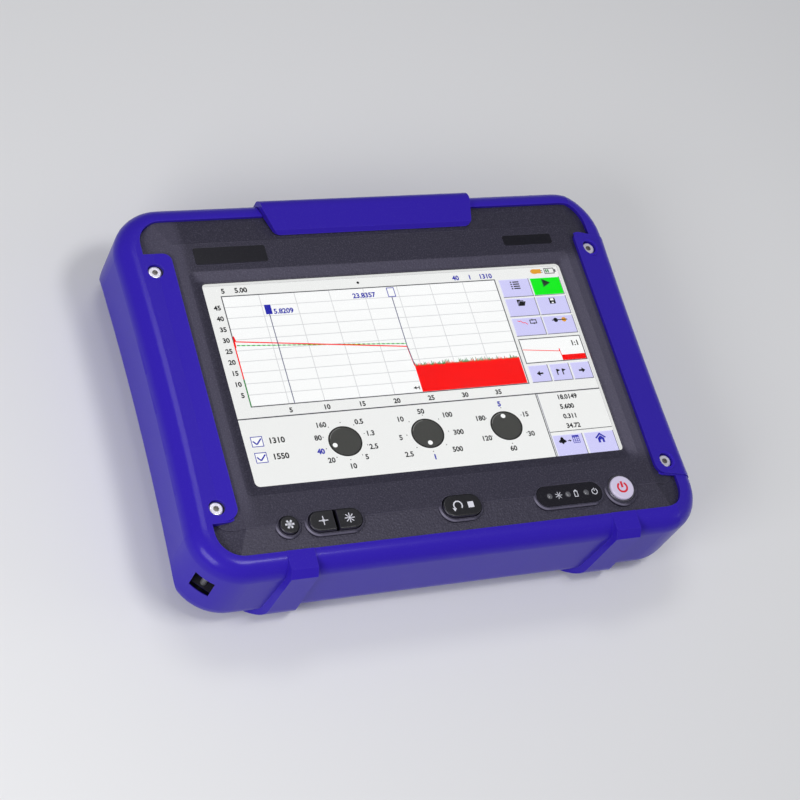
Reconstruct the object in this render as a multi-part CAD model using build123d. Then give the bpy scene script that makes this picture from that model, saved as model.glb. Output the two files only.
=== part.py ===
"""Handheld optical time domain reflectometer, lying on its back.

X runs to the right of the screen, Y to the top edge of the tester, Z out of the screen.
The origin is on the table, under the middle of the tester. Every size is in millimetres.
"""
from build123d import *
import math
import os

# Display window, which the borders are measured from
window_length = 154.0
window_width = 86.0
window_corner = 2.0
window_depth = 2.0
window_lip = 0.8
bevel_side = 4.5
bevel_low = 3.9
bevel_high = 4.6

# Rubber bumper
side_border = 29.0
bottom_border = 34.0
top_border = 36.0
bumper_corner = 20.0
bumper_back = 1.0
back_reach = 13.5
bumper_drop = 1.0
front_round = 7.0
back_round = 10.0
bumper_wall = 3.0
side_wall = 7.0
side_hollow = 1.2
side_tuck = 8.0
tuck_height = 25.0
tuck_bulge = 1.2

# Front face
face_height = 42.0
fall_side = 21.0
fall_angle = 18.7
lip_stand = 1.0
rim_depth = 4.0
plate_side = 9.25
plate_bottom_lip = 8.0
plate_top_lip = 7.5
plate_corner = 10.0
panel_side = 10.4
panel_below = 16.0
panel_above = 17.0
panel_corner = 7.5
panel_step = 0.5
border_fall = 0.14

# Side straps of the bumper
strap_side = 19.2
strap_low_end = 22.0
strap_high_end = 22.5
strap_corner = 4.0
strap_thickness = 1.6
strap_edge_round = 1.0
collar_radius = 4.0
collar_drop = 1.1

# Feet under the bottom side
foot_side = 39.1
foot_width_front = 10.2
foot_width_back = 12.0
foot_drop = 2.3
foot_rise = 0.3
foot_bevel = 2.7
foot_flare = 2.2

# Carrying strap slots in the corners
slot_width = 8.2
slot_height = 10.0
slot_under_split = 1.8
slot_depth = 11.5
lug_wall = 2.0
lug_cover = 2.2
strap_bar_radius = 1.2
strap_bar_inset = 2.0

# Case
back_height = 3.0
split_drop = 11.0
shell_wall = 2.5
front_wall = 2.5
back_edge_round = 8.0
seat_gap = 0.1
inner_side = 22.0
room_inset = 3.0
gasket_width = 1.0
gasket_inset = 0.75
gasket_depth = 0.9

# Display
glass_thickness = 1.7
glass_margin = 3.0
module_side = 5.5
module_edge = 7.0
module_thickness = 5.0
foam_width = 2.0
foam_thickness = 0.4
frame_sheet = 1.0
frame_ear_reach = 4.0
frame_ear_y = 22.0
frame_ear_radius = 3.0
frame_screw_bite = 2.4

# Keys along the bottom of the front face
key_line_below = 16.8
key_proud = 1.2
key_gap = 0.25
key_travel = 0.8
key_flange = 1.0
key_flange_thickness = 1.1
key_surround = 1.3
key_surround_rise = 0.25
key_surround_bevel = 0.5
round_key_x = -69.1
round_key_size = 7.4
bright_key_x = -51.0
bright_key_length = 21.0
bright_key_width = 8.2
bright_key_split = 1.6
start_key_x = 0.1
start_key_length = 15.8
start_key_width = 9.0
lamp_window_x = 46.0
lamp_window_length = 28.0
lamp_window_width = 8.2
lamp_pitch = 7.95
lamp_first_x = 37.4
lamp_radius = 1.2
power_key_x = 68.9
power_key_size = 10.0
power_ring_width = 0.9
power_ring_bevel = 0.3
key_post_radius = 1.3
key_edge_round = 0.7
key_rest_gap = 0.2

# Key board and its switches
key_board_left = -82.0
key_board_right = 80.0
key_board_width = 12.0
board_thickness = 1.6
key_board_drop = 13.0
key_screw_spots = (-79.0, -30.0, 18.0, 78.0)
switch_size = 6.0
switch_height = 3.2
plunger_radius = 1.5
plunger_height = 0.9

# Bare plates on the front face
plate_a = (-77.5, -48.0, 50.5, 58.0)
plate_b = (54.4, 76.6, 51.6, 56.4)
label_thickness = 0.5
label_proud = 0.15
label_corner = 1.0
label_gap = 0.08

# Port cover on the top side
cover_above = 19.2
cover_rise = 1.2
cover_proud = 0.3
cover_shoulder = 5.0
cover_half_low = 42.3
cover_half_high = 45.2
cover_slant_drop = 5.0
cover_gap = 0.3
cover_bevel = 1.4
cover_corner = 3.0
cover_pin_height = 8.0
cover_pin_inset = 1.7
cover_pin_radius = 0.8
barrel_radius = 1.8
barrel_inner = 4.3
barrel_outer = 39.7
pin_clearance = 0.05

# Ports in a bay in the top side, under the cover
bay_length = 84.0
bay_height = 14.8
bay_under_split = 6.4
bay_depth = 8.0
adapter_spots = (-32.0, -16.0)
adapter_barrel = 4.0
adapter_bore = 1.25
adapter_flange = 5.6
adapter_flange_thickness = 1.6
adapter_reach = 6.2
adapter_tail = 12.0
nut_radius = 6.4
nut_thickness = 2.4
cap_wall = 0.8
cap_stand = 0.6
port_board_left = -6.0
port_board_right = 41.0
port_board_depth = 18.0
port_board_rise = 2.4
port_screw_spots = (-2.0, 37.0)
port_screw_inset = 2.8
usb_a_spot = 3.0
usb_a_width = 13.4
usb_a_height = 6.2
usb_c_spot = 18.0
usb_c_width = 9.2
usb_c_height = 3.4
jack_spot = 33.0
jack_size = 9.0
jack_bore = 3.0
jack_pin = 1.0
socket_wall = 0.5
socket_depth = 13.0
tongue_thickness = 1.8

# Kickstand in the back
stand_half = 56.0
stand_leg = 8.0
stand_bar = 12.0
stand_thickness = 3.5
stand_inset = 0.2
stand_hinge_y = 36.0
stand_end_y = -48.0
stand_gap = 0.4
stand_pin_radius = 1.25
stand_pin_reach = 5.0
stand_floor = 2.0
stand_wall = 3.0
stand_corner = 6.0
stand_foot_half = 34.0
stand_foot_width = 4.0
stand_foot_depth = 1.0
finger_half = 11.0
finger_depth = 6.0

# Battery and its door
door_half = 39.5
door_low = -30.0
door_high = 26.0
door_thickness = 1.3
door_gap = 0.2
door_corner = 3.0
bay_half = 37.0
bay_low = -24.0
bay_high = 24.0
door_seal_width = 1.3
door_seal_thickness = 0.6
bay_wall = 1.5
bay_rim = 7.5
bay_wall_top = 14.0
battery_base = 6.0
battery_gap = 0.5
battery_corner = 3.0
contact_block = (-8.0, 8.0, 13.0, 19.0)
contact_height = 2.2
door_screw_x = 28.0
door_screw_y = -27.7

# Screws
case_screw_side = 18.0
case_screw_end = 18.0
strap_screw_side = 12.5
strap_screw_low = 5.7
strap_screw_high = 7.0
strap_screw_drop = 3.8
strap_screw_length = 7.0
screw_radius = 1.5
head_radius = 2.7
head_height = 1.8
case_screw_sink = 4.0
case_screw_bite = 4.0
small_screw_radius = 1.1
small_head_radius = 2.0
small_head_height = 1.0
boss_wall = 2.0

# Main board and what it carries
main_board_side = 28.0
main_board_low_edge = 3.0
main_board_high_edge = 9.0
main_board_drop = 14.8
board_screw_inset = 5.0
board_screw_top_inset = 6.0
board_screw_bite = 4.0
shield_box = (-20.0, 22.0, -16.0, 20.0)
shield_height = 2.6
chip_spots = ((38.0, 8.0, 14.0), (58.0, 8.0, 10.0), (-48.0, 14.0, 12.0), (-48.0, -14.0, 9.0))
chip_height = 1.2
lamp_height = 1.0
socket_rise = 0.8
flex_reach = 1.6
flex_thickness = 0.3
display_socket = (-40.0, -30.0, -38.0, -32.0)

# Optical module on the left, fibre tray on its lid
optics_side = 12.0
optics_length = 33.0
optics_low_gap = 11.0
optics_high_gap = 28.0
optics_height = 8.5
optics_wall = 1.2
optics_lid = 0.8
optics_corner = 2.0
tray_radius = 16.2
tray_wall = 0.8
tray_height = 5.0
tray_hub = 11.0
tray_inset = 26.0
coil_inner = 11.3
coil_outer = 14.8
coil_height = 2.8
tube_radius = 0.9
tube_bend = 7.0
tube_drop = 2.2
tube_above_base = 4.5
tube_start_insets = (3.5, 7.0)
tube_run_gaps = (9.0, 4.5)

# Speaker and rubber pads in the back
speaker_side = 34.0
speaker_y = -27.0
speaker_radius = 9.0
speaker_height = 5.0
grille_pitch = 3.2
grille_hole = 0.9
grille_rings = 2
pad_side = 30.0
pad_y = 50.0
pad_radius = 6.0
pad_recess = 0.8

# Places along the tester, worked out from the sizes above
half = window_length / 2 + side_border
shell_half = half - side_wall
plate_half = half - plate_side
panel_half = half - panel_side
fall_start = half - fall_side
fall = math.tan(math.radians(fall_angle))
inner_reach = half - inner_side
frame_ear_x = inner_reach + frame_ear_reach
module_half_x = window_length / 2 + module_side
strap_edge = half - strap_side
strap_screw_x = half - strap_screw_side
case_screw_x = half - case_screw_side
foot_x = half - foot_side
main_board_half = half - main_board_side
board_screw_x = main_board_half - board_screw_inset
optics_left = optics_side - half
optics_right = optics_left + optics_length
tube_starts = (optics_right - tube_start_insets[0], optics_right - tube_start_insets[1])
speaker_x = half - speaker_side
pad_x = half - pad_side

# Places from the bottom side to the top side
bumper_bottom = -window_width / 2 - bottom_border
bumper_top = window_width / 2 + top_border
shell_low = bumper_bottom + bumper_wall
shell_high = bumper_top - bumper_wall
shell_corner = bumper_corner - bumper_wall
plate_bottom = bumper_bottom + plate_bottom_lip
plate_top = bumper_top - plate_top_lip
panel_bottom = -window_width / 2 - panel_below
panel_top = window_width / 2 + panel_above
strap_low = bumper_bottom + strap_low_end
strap_high = bumper_top - strap_high_end
strap_screw_rows = (strap_low + strap_screw_low, strap_high - strap_screw_high)
case_screw_rows = (shell_low + case_screw_end, shell_high - case_screw_end)
module_half_y = window_width / 2 + module_edge
key_line = -window_width / 2 - key_line_below
cover_low = window_width / 2 + cover_above
cover_slant_end = bumper_top - cover_slant_drop
cover_outside = bumper_top + cover_proud
cover_pin_y = bumper_top - cover_pin_inset
bay_floor = shell_high - bay_depth
port_board_low = bay_floor - port_board_depth
port_screw_row = port_board_low + port_screw_inset
main_board_low = -window_width / 2 - main_board_low_edge
main_board_high = window_width / 2 + main_board_high_edge
board_screw_rows = (main_board_low + board_screw_inset, main_board_high - board_screw_top_inset)
optics_low = board_screw_rows[0] + optics_low_gap
optics_high = bay_floor - optics_high_gap
tray_y = optics_high - tray_inset
tube_end_y = bay_floor - adapter_tail
tube_run_rows = (tube_end_y - tube_run_gaps[0], tube_end_y - tube_run_gaps[1])

# Heights, worked out from the front face down and from the back up
bumper_front = face_height - bumper_drop
glass_height = face_height - window_depth
collar_height = face_height - collar_drop
foot_front = bumper_front + foot_rise
cover_front = face_height + cover_rise
strap_screw_seat = face_height - strap_screw_drop
split_height = face_height - split_drop
slot_high = split_height - slot_under_split
slot_low = slot_high - slot_height
inner_floor = back_height + shell_wall
inner_face = face_height - front_wall
glass_back = glass_height - glass_thickness
module_back = glass_back - foam_thickness - module_thickness
frame_top = module_back
frame_low = frame_top - frame_sheet
main_board_height = face_height - main_board_drop
main_board_top = main_board_height + board_thickness
battery_top = main_board_height - contact_height
key_board_height = face_height - key_board_drop
key_board_top = key_board_height + board_thickness
switch_top = key_board_top + switch_height + plunger_height
key_stop = inner_face - key_rest_gap
bay_top = split_height - bay_under_split
bay_bottom = bay_top - bay_height
adapter_height = (bay_bottom + bay_top) / 2
port_board_height = bay_bottom + port_board_rise
port_board_top = port_board_height + board_thickness
tube_height = adapter_height - tube_drop
optics_base = tube_height - tube_above_base
optics_top = optics_base + optics_height
stand_low = back_height + stand_inset
stand_high = stand_low + stand_thickness
stand_axis = (stand_low + stand_high) / 2


def block(x, y, z):
    """Box between two values of x, y and z."""
    middle = Pos((x[0] + x[1]) / 2, (y[0] + y[1]) / 2, (z[0] + z[1]) / 2)
    return middle * Box(abs(x[1] - x[0]), abs(y[1] - y[0]), abs(z[1] - z[0]))


def slab(x, y, z, corner):
    """Box whose four upright edges are rounded."""
    outline = RectangleRounded(abs(x[1] - x[0]), abs(y[1] - y[0]), corner)
    return Pos((x[0] + x[1]) / 2, (y[0] + y[1]) / 2, z[0]) * extrude(outline, z[1] - z[0])


def post(x, y, z, radius):
    """Upright cylinder between two heights."""
    return Pos(x, y, (z[0] + z[1]) / 2) * Cylinder(radius, z[1] - z[0])


def rod_x(y, z, x, radius):
    """Cylinder along X between two values of x."""
    return Pos((x[0] + x[1]) / 2, y, z) * Rot(0, 90, 0) * Cylinder(radius, x[1] - x[0])


def rod_y(x, z, y, radius):
    """Cylinder along Y between two values of y."""
    return Pos(x, (y[0] + y[1]) / 2, z) * Rot(90, 0, 0) * Cylinder(radius, y[1] - y[0])


def across(points, length):
    """Prism along X from an outline given as (y, z)."""
    face = make_face(Polyline([(0, y, z) for y, z in points], close=True))
    return extrude(face, length / 2, dir=(1, 0, 0), both=True)


def along(points, y):
    """Prism along Y between two values of y, from an outline given as (x, z)."""
    face = make_face(Polyline([(x, y[0], z) for x, z in points], close=True))
    return extrude(face, y[1] - y[0], dir=(0, 1, 0))


def both_sides(shape):
    """The shape and its mirror image on the other side of the tester."""
    return shape + mirror(shape, Plane.YZ)


def face_at(x, drop=0.0):
    """Height of the front face at x, lowered by a drop."""
    return face_height - fall * max(abs(x) - fall_start, 0.0) - drop


def above_face(drop):
    """Everything above the front face with its falling sides, lowered by a drop."""
    far = half + 10
    high = face_height + 20
    outline = [(-far, high), (-far, face_at(far, drop)), (-fall_start, face_at(0, drop))]
    outline += [(fall_start, face_at(0, drop)), (far, face_at(far, drop)), (far, high)]
    return along(outline, (shell_low - 20, shell_high + 20))


def corner_frames():
    """Frames at the four corners, X pointing outwards along the diagonal."""
    x = half - bumper_corner
    low = bumper_bottom + bumper_corner
    high = bumper_top - bumper_corner
    return [Pos(-x, low, 0) * Rot(0, 0, 225), Pos(x, low, 0) * Rot(0, 0, 315),
            Pos(x, high, 0) * Rot(0, 0, 45), Pos(-x, high, 0) * Rot(0, 0, 135)]


def corner_lugs(grow=0.0):
    """Blocks in the corners that hold the strap bars."""
    reach = (bumper_corner - slot_depth - lug_wall, bumper_corner - lug_cover + grow)
    wide = slot_width / 2 + lug_wall + grow
    lug = block(reach, (-wide, wide), (slot_low - lug_wall - grow, split_height))
    return [frame * lug for frame in corner_frames()]


def corner_slots():
    """Slots for a carrying strap, through the bumper into the corner blocks."""
    reach = (bumper_corner - slot_depth, bumper_corner + 5)
    slot = block(reach, (-slot_width / 2, slot_width / 2), (slot_low, slot_high))
    return [frame * slot for frame in corner_frames()]


def strap_bars():
    """Steel bars across the corner slots, which a carrying strap goes round."""
    out = bumper_corner - lug_cover - strap_bar_inset
    bar = post(out, 0, (slot_low - 1, slot_high + 1), strap_bar_radius)
    return Compound([frame * bar for frame in corner_frames()])


def bow_radius():
    """Radius of the long arc that hollows the bumper's sides."""
    reach = (bumper_top - bumper_bottom) / 2 - bumper_corner
    return (reach ** 2 + side_hollow ** 2) / (2 * side_hollow)


def bumper_outline(z):
    """The bumper's plan between two heights: round corners and slightly hollow sides."""
    low = z[0]
    middle = (bumper_bottom + bumper_top) / 2
    cut = bumper_corner * (1 - math.sqrt(0.5))
    side_low = bumper_bottom + bumper_corner
    side_high = bumper_top - bumper_corner
    end = half - bumper_corner
    bottom = Line((0, bumper_bottom, low), (end, bumper_bottom, low))
    corner = ThreePointArc(bottom @ 1, (half - cut, bumper_bottom + cut, low), (half, side_low, low))
    side = ThreePointArc(corner @ 1, (half - side_hollow, middle, low), (half, side_high, low))
    top_corner = ThreePointArc(side @ 1, (half - cut, bumper_top - cut, low), (end, bumper_top, low))
    top = Line(top_corner @ 1, (0, bumper_top, low))
    right = [bottom, corner, side, top_corner, top]
    left = [mirror(edge, Plane.YZ) for edge in right]
    return extrude(make_face(right + left), z[1] - low, dir=(0, 0, 1))


def sloped_side(drop):
    """Right part of the bumper's outline under the falling side of its face, with a rolled
    edge."""
    start = fall_start - side_border
    far = half + 20
    part = bumper_outline((bumper_back - 5, 2 * face_height))
    part &= block((start, far), (bumper_bottom - 5, bumper_top + 5), (bumper_back - 5, 2 * face_height))
    high = face_at(0, drop) + fall * (fall_start - start)
    outline = [(start, high), (far, face_at(far, drop)), (far, 3 * face_height), (start, 3 * face_height)]
    part -= along(outline, (bumper_bottom - 5, bumper_top + 5))
    slope = part.faces().filter_by(lambda face: 0.5 < face.normal_at().Z < 0.999)[0]
    rim = [edge for edge in slope.edges() if edge.center().X > start + 1]
    return fillet(rim, front_round)


def side_tucks():
    """What is cut off along the lower part of both sides, which run in under the tester."""
    edge = half - side_hollow
    far = half + 20
    foot = bumper_back - 0.5
    arc = ThreePointArc((edge + 0.5, 0, tuck_height + 1), (edge - tuck_bulge, 0, tuck_height * 0.44),
                        (edge - side_tuck, 0, foot))
    lines = [arc, Line(arc @ 1, (far, 0, foot)), Line((far, 0, foot), (far, 0, tuck_height + 1))]
    lines.append(Line((far, 0, tuck_height + 1), arc @ 0))
    radius = bow_radius()
    axis = Axis((edge + radius, 0, 0), (0, 0, 1))
    turn = 2 * math.degrees(math.asin((bumper_top - bumper_bottom) * 0.57 / radius))
    cutter = revolve(make_face(lines).rotate(axis, -turn / 2), axis, turn)
    return both_sides(Pos(0, (bumper_bottom + bumper_top) / 2, 0) * cutter)


def bumper_outside():
    """Outer form of the bumper: rolled edges, falling sides that are slightly hollow."""
    body = bumper_outline((bumper_back, bumper_front))
    body = fillet(body.edges().group_by(Axis.Z)[-1], front_round)
    body = fillet(body.edges().group_by(Axis.Z)[0], back_round)
    start = fall_start - side_border
    over = block((start, half + 20), (bumper_bottom - 5, bumper_top + 5), (bumper_back - 5, 2 * face_height))
    over -= sloped_side(-lip_stand)
    return body - both_sides(over) - side_tucks()


def strap_pair():
    """Straps that reach over the front face from both sides."""
    strap = slab((strap_edge, half + 20), (strap_low, strap_high), (slot_high, face_height + 5),
                 strap_corner)
    strap -= above_face(-strap_thickness)
    slope = strap.faces().sort_by(Axis.Z)[-1]
    strap = fillet(slope.edges(), strap_edge_round)
    strap &= sloped_side(-strap_thickness)
    collars = [post(strap_screw_x, y, (slot_high, collar_height), collar_radius)
               for y in strap_screw_rows]
    return both_sides(strap + collars)


def feet():
    """Two feet under the bottom side that follow its rounded back edge; their flanks flare
    towards the back."""
    low = bumper_bottom - foot_drop
    deep = plate_bottom + 1
    roll = back_round + foot_drop
    middle = (bumper_bottom + back_round, bumper_back + back_round)
    end = middle[0] - math.sqrt(roll ** 2 - back_round ** 2)
    halfway = math.atan2(back_round, middle[0] - end) / 2
    on_arc = (middle[0] - roll * math.cos(halfway), middle[1] - roll * math.sin(halfway))
    lines = [ThreePointArc((0, low, middle[1]), (0, *on_arc), (0, end, bumper_back))]
    points = [(0, end, bumper_back), (0, deep, bumper_back), (0, deep, foot_front)]
    points += [(0, low + foot_bevel, foot_front), (0, low, foot_front - foot_bevel)]
    points.append((0, low, middle[1]))
    lines.append(Polyline(points))
    side_view = extrude(make_face(lines), foot_x, dir=(1, 0, 0), both=True)
    spread = foot_flare * (deep - low) / foot_drop
    front = foot_section(foot_width_front / 2, foot_width_front / 2, foot_front + 1)
    back = foot_section(foot_width_back / 2, foot_width_back / 2 + spread, bumper_back - 1)
    foot = side_view & loft([back, front], ruled=True)
    return both_sides(Pos(foot_x, 0, 0) * foot)


def foot_section(low_half, deep_half, z):
    """Outline of a foot at one height, from its flat to inside the bumper."""
    low = bumper_bottom - foot_drop
    deep = plate_bottom + 1
    points = [(-low_half, low, z), (low_half, low, z), (deep_half, deep, z), (-deep_half, deep, z)]
    return make_face(Polyline(points, close=True))


def shell_space(grow):
    """The room that the closed case takes inside the bumper."""
    x = shell_half + grow
    y = (shell_low - grow, shell_high + grow)
    room = slab((-x, x), y, (back_height - grow, face_height + 5), shell_corner)
    room = fillet(room.edges().group_by(Axis.Z)[0], back_edge_round)
    room -= above_face(rim_depth - grow)
    return room


def plate_outline(grow, z):
    """The part of the front case that shows inside the bumper's lip."""
    x = plate_half + grow
    return slab((-x, x), (plate_bottom - grow, plate_top + grow), z, plate_corner)


def cover_outline(grow, z):
    """The port cover's outline seen from the front, with slanted ends."""
    low = cover_low - grow
    far = bumper_top + 6
    points = [(-cover_half_low - grow, low), (-cover_half_high - grow, cover_slant_end)]
    points += [(-cover_half_high - grow, far), (cover_half_high + grow, far)]
    points += [(cover_half_high + grow, cover_slant_end), (cover_half_low + grow, low)]
    face = make_face(Polyline([(px, py, z[0]) for px, py in points], close=True))
    face = fillet(face.vertices().group_by(Axis.Y)[0], cover_corner)
    return extrude(face, z[1] - z[0], dir=(0, 0, 1))


def bumper():
    """Blue rubber bumper with straps, feet, corner slots and the gap for the port cover."""
    body = bumper_outside()
    body += strap_pair()
    body += feet()
    body -= shell_space(seat_gap)
    body -= plate_outline(0, (back_height + 10, face_height + 5)) - strap_keep()
    body -= slab((-half + back_reach, half - back_reach),
                 (bumper_bottom + back_reach - 1.5, bumper_top - back_reach + 1.5),
                 (0, back_height + 10), shell_corner - 5)
    body -= cover_outline(cover_gap, (cover_pin_height - barrel_radius - 3 * cover_gap,
                                      face_height + 5))
    for cut in corner_slots() + corner_lugs(seat_gap):
        body -= cut
    for x in (-strap_screw_x, strap_screw_x):
        for y in strap_screw_rows:
            body -= post(x, y, (slot_high, face_height + 5), head_radius + 0.35)
    return body


def strap_keep():
    """What the lip's opening leaves in place: the straps above the front face."""
    keep = slab((strap_edge - 0.5, half + 20), (strap_low - 0.5, strap_high + 0.5),
                (slot_high, face_height + 9), strap_corner)
    keep &= above_face(-seat_gap)
    return both_sides(keep)


def case_outline(z):
    """The case's outline between two heights."""
    return slab((-shell_half, shell_half), (shell_low, shell_high), z, shell_corner)


def case_room(z, wall):
    """The case's outline, moved inwards by a wall."""
    x = shell_half - wall
    return slab((-x, x), (shell_low + wall, shell_high - wall), z, shell_corner - wall)


def pill(length, width, z):
    """Upright prism with round ends."""
    outline = Circle(width / 2) if length == width else SlotOverall(length, width)
    return Pos(0, 0, z[0]) * extrude(outline, z[1] - z[0])


def key_sizes():
    """Middle, length and width of each opening along the keys' line."""
    return {"round_key": (round_key_x, round_key_size, round_key_size),
            "bright_keys": (bright_key_x, bright_key_length, bright_key_width),
            "start_key": (start_key_x, start_key_length, start_key_width),
            "lamp_window": (lamp_window_x, lamp_window_length, lamp_window_width),
            "power_key": (power_key_x, power_key_size, power_key_size)}


def key_form(name, grow, z):
    """The outline of one opening along the keys' line, grown and between two heights."""
    x, length, width = key_sizes()[name]
    return Pos(x, key_line, 0) * pill(length + 2 * grow, width + 2 * grow, z)


def key_collar(name):
    """Raised collar with a bevelled edge round one opening along the keys' line."""
    grow = key_surround + (power_ring_width if name == "power_key" else 0)
    collar = key_form(name, grow, (inner_face + 0.5, face_height + key_surround_rise))
    return chamfer(collar.edges().group_by(Axis.Z)[-1], key_surround_bevel)


def falling_borders():
    """Wedges above the borders that fall away from the raised panel to the lip."""
    start = face_height - panel_step
    wedges = []
    for edge, way in ((panel_bottom, -1), (panel_top, 1)):
        far = edge + way * 25
        outline = [(edge, start), (far, start - 25 * border_fall), (far, start + 5), (edge, start + 5)]
        wedges.append(across(outline, 2 * half))
    return wedges


def window_cut():
    """The display's window with its sloping edges."""
    edge = glass_height + window_lip
    low = Pos(0, 0, edge) * RectangleRounded(window_length, window_width, window_corner)
    bevel_length = window_length + 2 * bevel_side
    bevel_width = window_width + bevel_low + bevel_high
    high = Pos(0, (bevel_high - bevel_low) / 2, face_height)
    high = high * RectangleRounded(bevel_length, bevel_width, window_corner)
    hole = slab((-window_length / 2, window_length / 2), (-window_width / 2, window_width / 2),
                (inner_face - 1, edge), window_corner)
    return loft([low, high]) + hole


def glass_sizes(grow):
    """Half length and half width of the touch glass, grown by a gap."""
    return (window_length / 2 + glass_margin + grow, window_width / 2 + glass_margin + grow)


def front_housing():
    """Dark grey front case with its raised panel, window, key openings and bosses."""
    body = case_outline((split_height, face_height)) - above_face(0)
    rim = case_outline((split_height, face_height + 5)) - plate_outline(-seat_gap, (0, face_height + 9))
    body -= rim & above_face(rim_depth)
    panel = slab((-panel_half, panel_half), (panel_bottom, panel_top),
                 (0, face_height + 9), panel_corner)
    body -= above_face(panel_step) - panel
    for wedge in falling_borders():
        body -= wedge
    for name in key_sizes():
        body += key_collar(name)
    room = case_room((split_height - 1, face_height), shell_wall)
    room -= above_face(rim_depth + front_wall)
    room += slab((-inner_reach, inner_reach), (plate_bottom + room_inset, plate_top - room_inset),
                 (split_height - 1, inner_face), plate_corner / 2)
    body -= room
    body -= window_cut()
    x, y = glass_sizes(2 * seat_gap)
    body -= block((-x, x), (-y, y), (inner_face - 1, glass_height + seat_gap / 2))
    for name in key_sizes():
        body -= key_form(name, key_gap, (inner_face - 1, face_height + 1))
    body -= key_form("power_key", power_ring_width, (face_height - 1, face_height + 2))
    for x0, x1, y0, y1 in (plate_a, plate_b):
        low = face_height - label_thickness + label_proud
        body -= slab((x0, x1), (y0, y1), (low, face_height + 1), label_corner)
    return add_front_bosses(body)


def add_front_bosses(body):
    """Bosses for the screws of the case, the straps, the display frame and the key board."""
    under = split_height
    for x in (-case_screw_x, case_screw_x):
        for y in case_screw_rows:
            top = face_at(x, rim_depth + front_wall)
            body += post(x, y, (under, top + 1), screw_radius + boss_wall)
            body -= post(x, y, (under, under + case_screw_bite), screw_radius)
    for x in (-strap_screw_x, strap_screw_x):
        for y in strap_screw_rows:
            low = strap_screw_seat - strap_screw_length
            boss = post(x, y, (under, face_height), screw_radius + boss_wall)
            body += boss - above_face(rim_depth + 0.5)
            body -= post(x, y, (strap_screw_seat, face_height), head_radius + 0.3)
            body -= post(x, y, (low, face_height), screw_radius)
    for x in (-frame_ear_x, frame_ear_x):
        for y in (-frame_ear_y, frame_ear_y):
            top = face_at(x, rim_depth + front_wall)
            body += post(x, y, (frame_top, top + 1), frame_ear_radius)
            body -= post(x, y, (frame_top, frame_top + frame_screw_bite), small_screw_radius)
    for x in key_screw_spots:
        body += post(x, key_line, (key_board_top, inner_face + 0.5), small_screw_radius + boss_wall)
        body -= post(x, key_line, (key_board_top, inner_face - 2), small_screw_radius)
    return body


def gasket_ring(grow, z):
    """Frame that lies in the groove along the case's joint."""
    outside = case_room(z, gasket_inset - grow)
    return outside - case_room((z[0] - 1, z[1] + 1), gasket_inset + gasket_width + grow)


def housing_gasket():
    """Sealing cord along the joint of the two case halves."""
    return gasket_ring(0, (split_height - gasket_depth, split_height))


def stand_outline(grow, z):
    """The kickstand's U, folded into the back."""
    x = stand_half + grow
    top = stand_hinge_y + stand_thickness / 2 + grow
    body = slab((-x, x), (stand_end_y - grow, top), z, stand_corner + grow)
    body += block((-x, x), (0, top), z)
    hole = stand_half - stand_leg - grow
    inner = stand_end_y + stand_bar + grow
    return body - block((-hole, hole), (inner, top + 1), (z[0] - 1, z[1] + 1))


def bay_box(grow, z):
    """The battery's bay, grown by a wall."""
    x = bay_half + grow
    return block((-x, x), (bay_low - grow, bay_high + grow), z)


def rear_housing():
    """Rear case half: floor, walls, port bay, battery bay, stand groove, posts and lugs."""
    body = case_outline((back_height, split_height))
    body = fillet(body.edges().group_by(Axis.Z)[0], back_edge_round)
    room = case_room((inner_floor, split_height + 1), shell_wall)
    room = fillet(room.edges().group_by(Axis.Z)[0], back_edge_round - shell_wall)
    body -= room
    body += add_bay_walls()
    body += stand_outline(stand_gap + stand_wall, (inner_floor - 1, stand_high + stand_gap + stand_floor))
    body += rear_posts()
    for lug in corner_lugs():
        body += lug
    return cut_rear(body)


def add_bay_walls():
    """Walls round the battery and behind the port bay."""
    rim = block((-door_half - 2, door_half + 2), (door_low - 2, door_high + 2),
                (inner_floor - 1, bay_rim))
    walls = bay_box(bay_wall, (inner_floor - 1, bay_wall_top))
    half_bay = bay_length / 2 + shell_wall
    ports = block((-half_bay, half_bay), (bay_floor - shell_wall, shell_high - 1),
                  (bay_bottom - shell_wall, bay_top + shell_wall))
    finger = block((-finger_half - 2, finger_half + 2), (stand_end_y - finger_depth - 2, stand_end_y),
                   (inner_floor - 1, stand_high + stand_floor))
    return rim + walls + ports + finger


def rear_posts():
    """Posts for the case screws, the boards, the optical module and the battery door."""
    posts = []
    for x in (-case_screw_x, case_screw_x):
        for y in case_screw_rows:
            posts.append(post(x, y, (inner_floor - 1, split_height), screw_radius + boss_wall))
            posts.append(post(x, y, (inner_floor - 1, back_height + case_screw_sink + 2),
                              head_radius + boss_wall))
    for x in (-board_screw_x, board_screw_x):
        for y in board_screw_rows:
            posts.append(post(x, y, (inner_floor - 1, main_board_height), small_screw_radius + boss_wall))
    for x in port_screw_spots:
        posts.append(post(x, port_screw_row, (inner_floor - 1, port_board_height),
                          small_screw_radius + boss_wall))
    inset = optics_corner + boss_wall
    for x in (optics_left + inset, optics_right - inset):
        for y in (optics_low + inset, optics_high - inset):
            posts.append(post(x, y, (inner_floor - 1, optics_base), small_screw_radius + boss_wall))
    for x in (-door_screw_x, door_screw_x):
        posts.append(post(x, door_screw_y, (inner_floor - 1, bay_rim + 3), small_screw_radius + boss_wall))
    return posts


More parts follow.
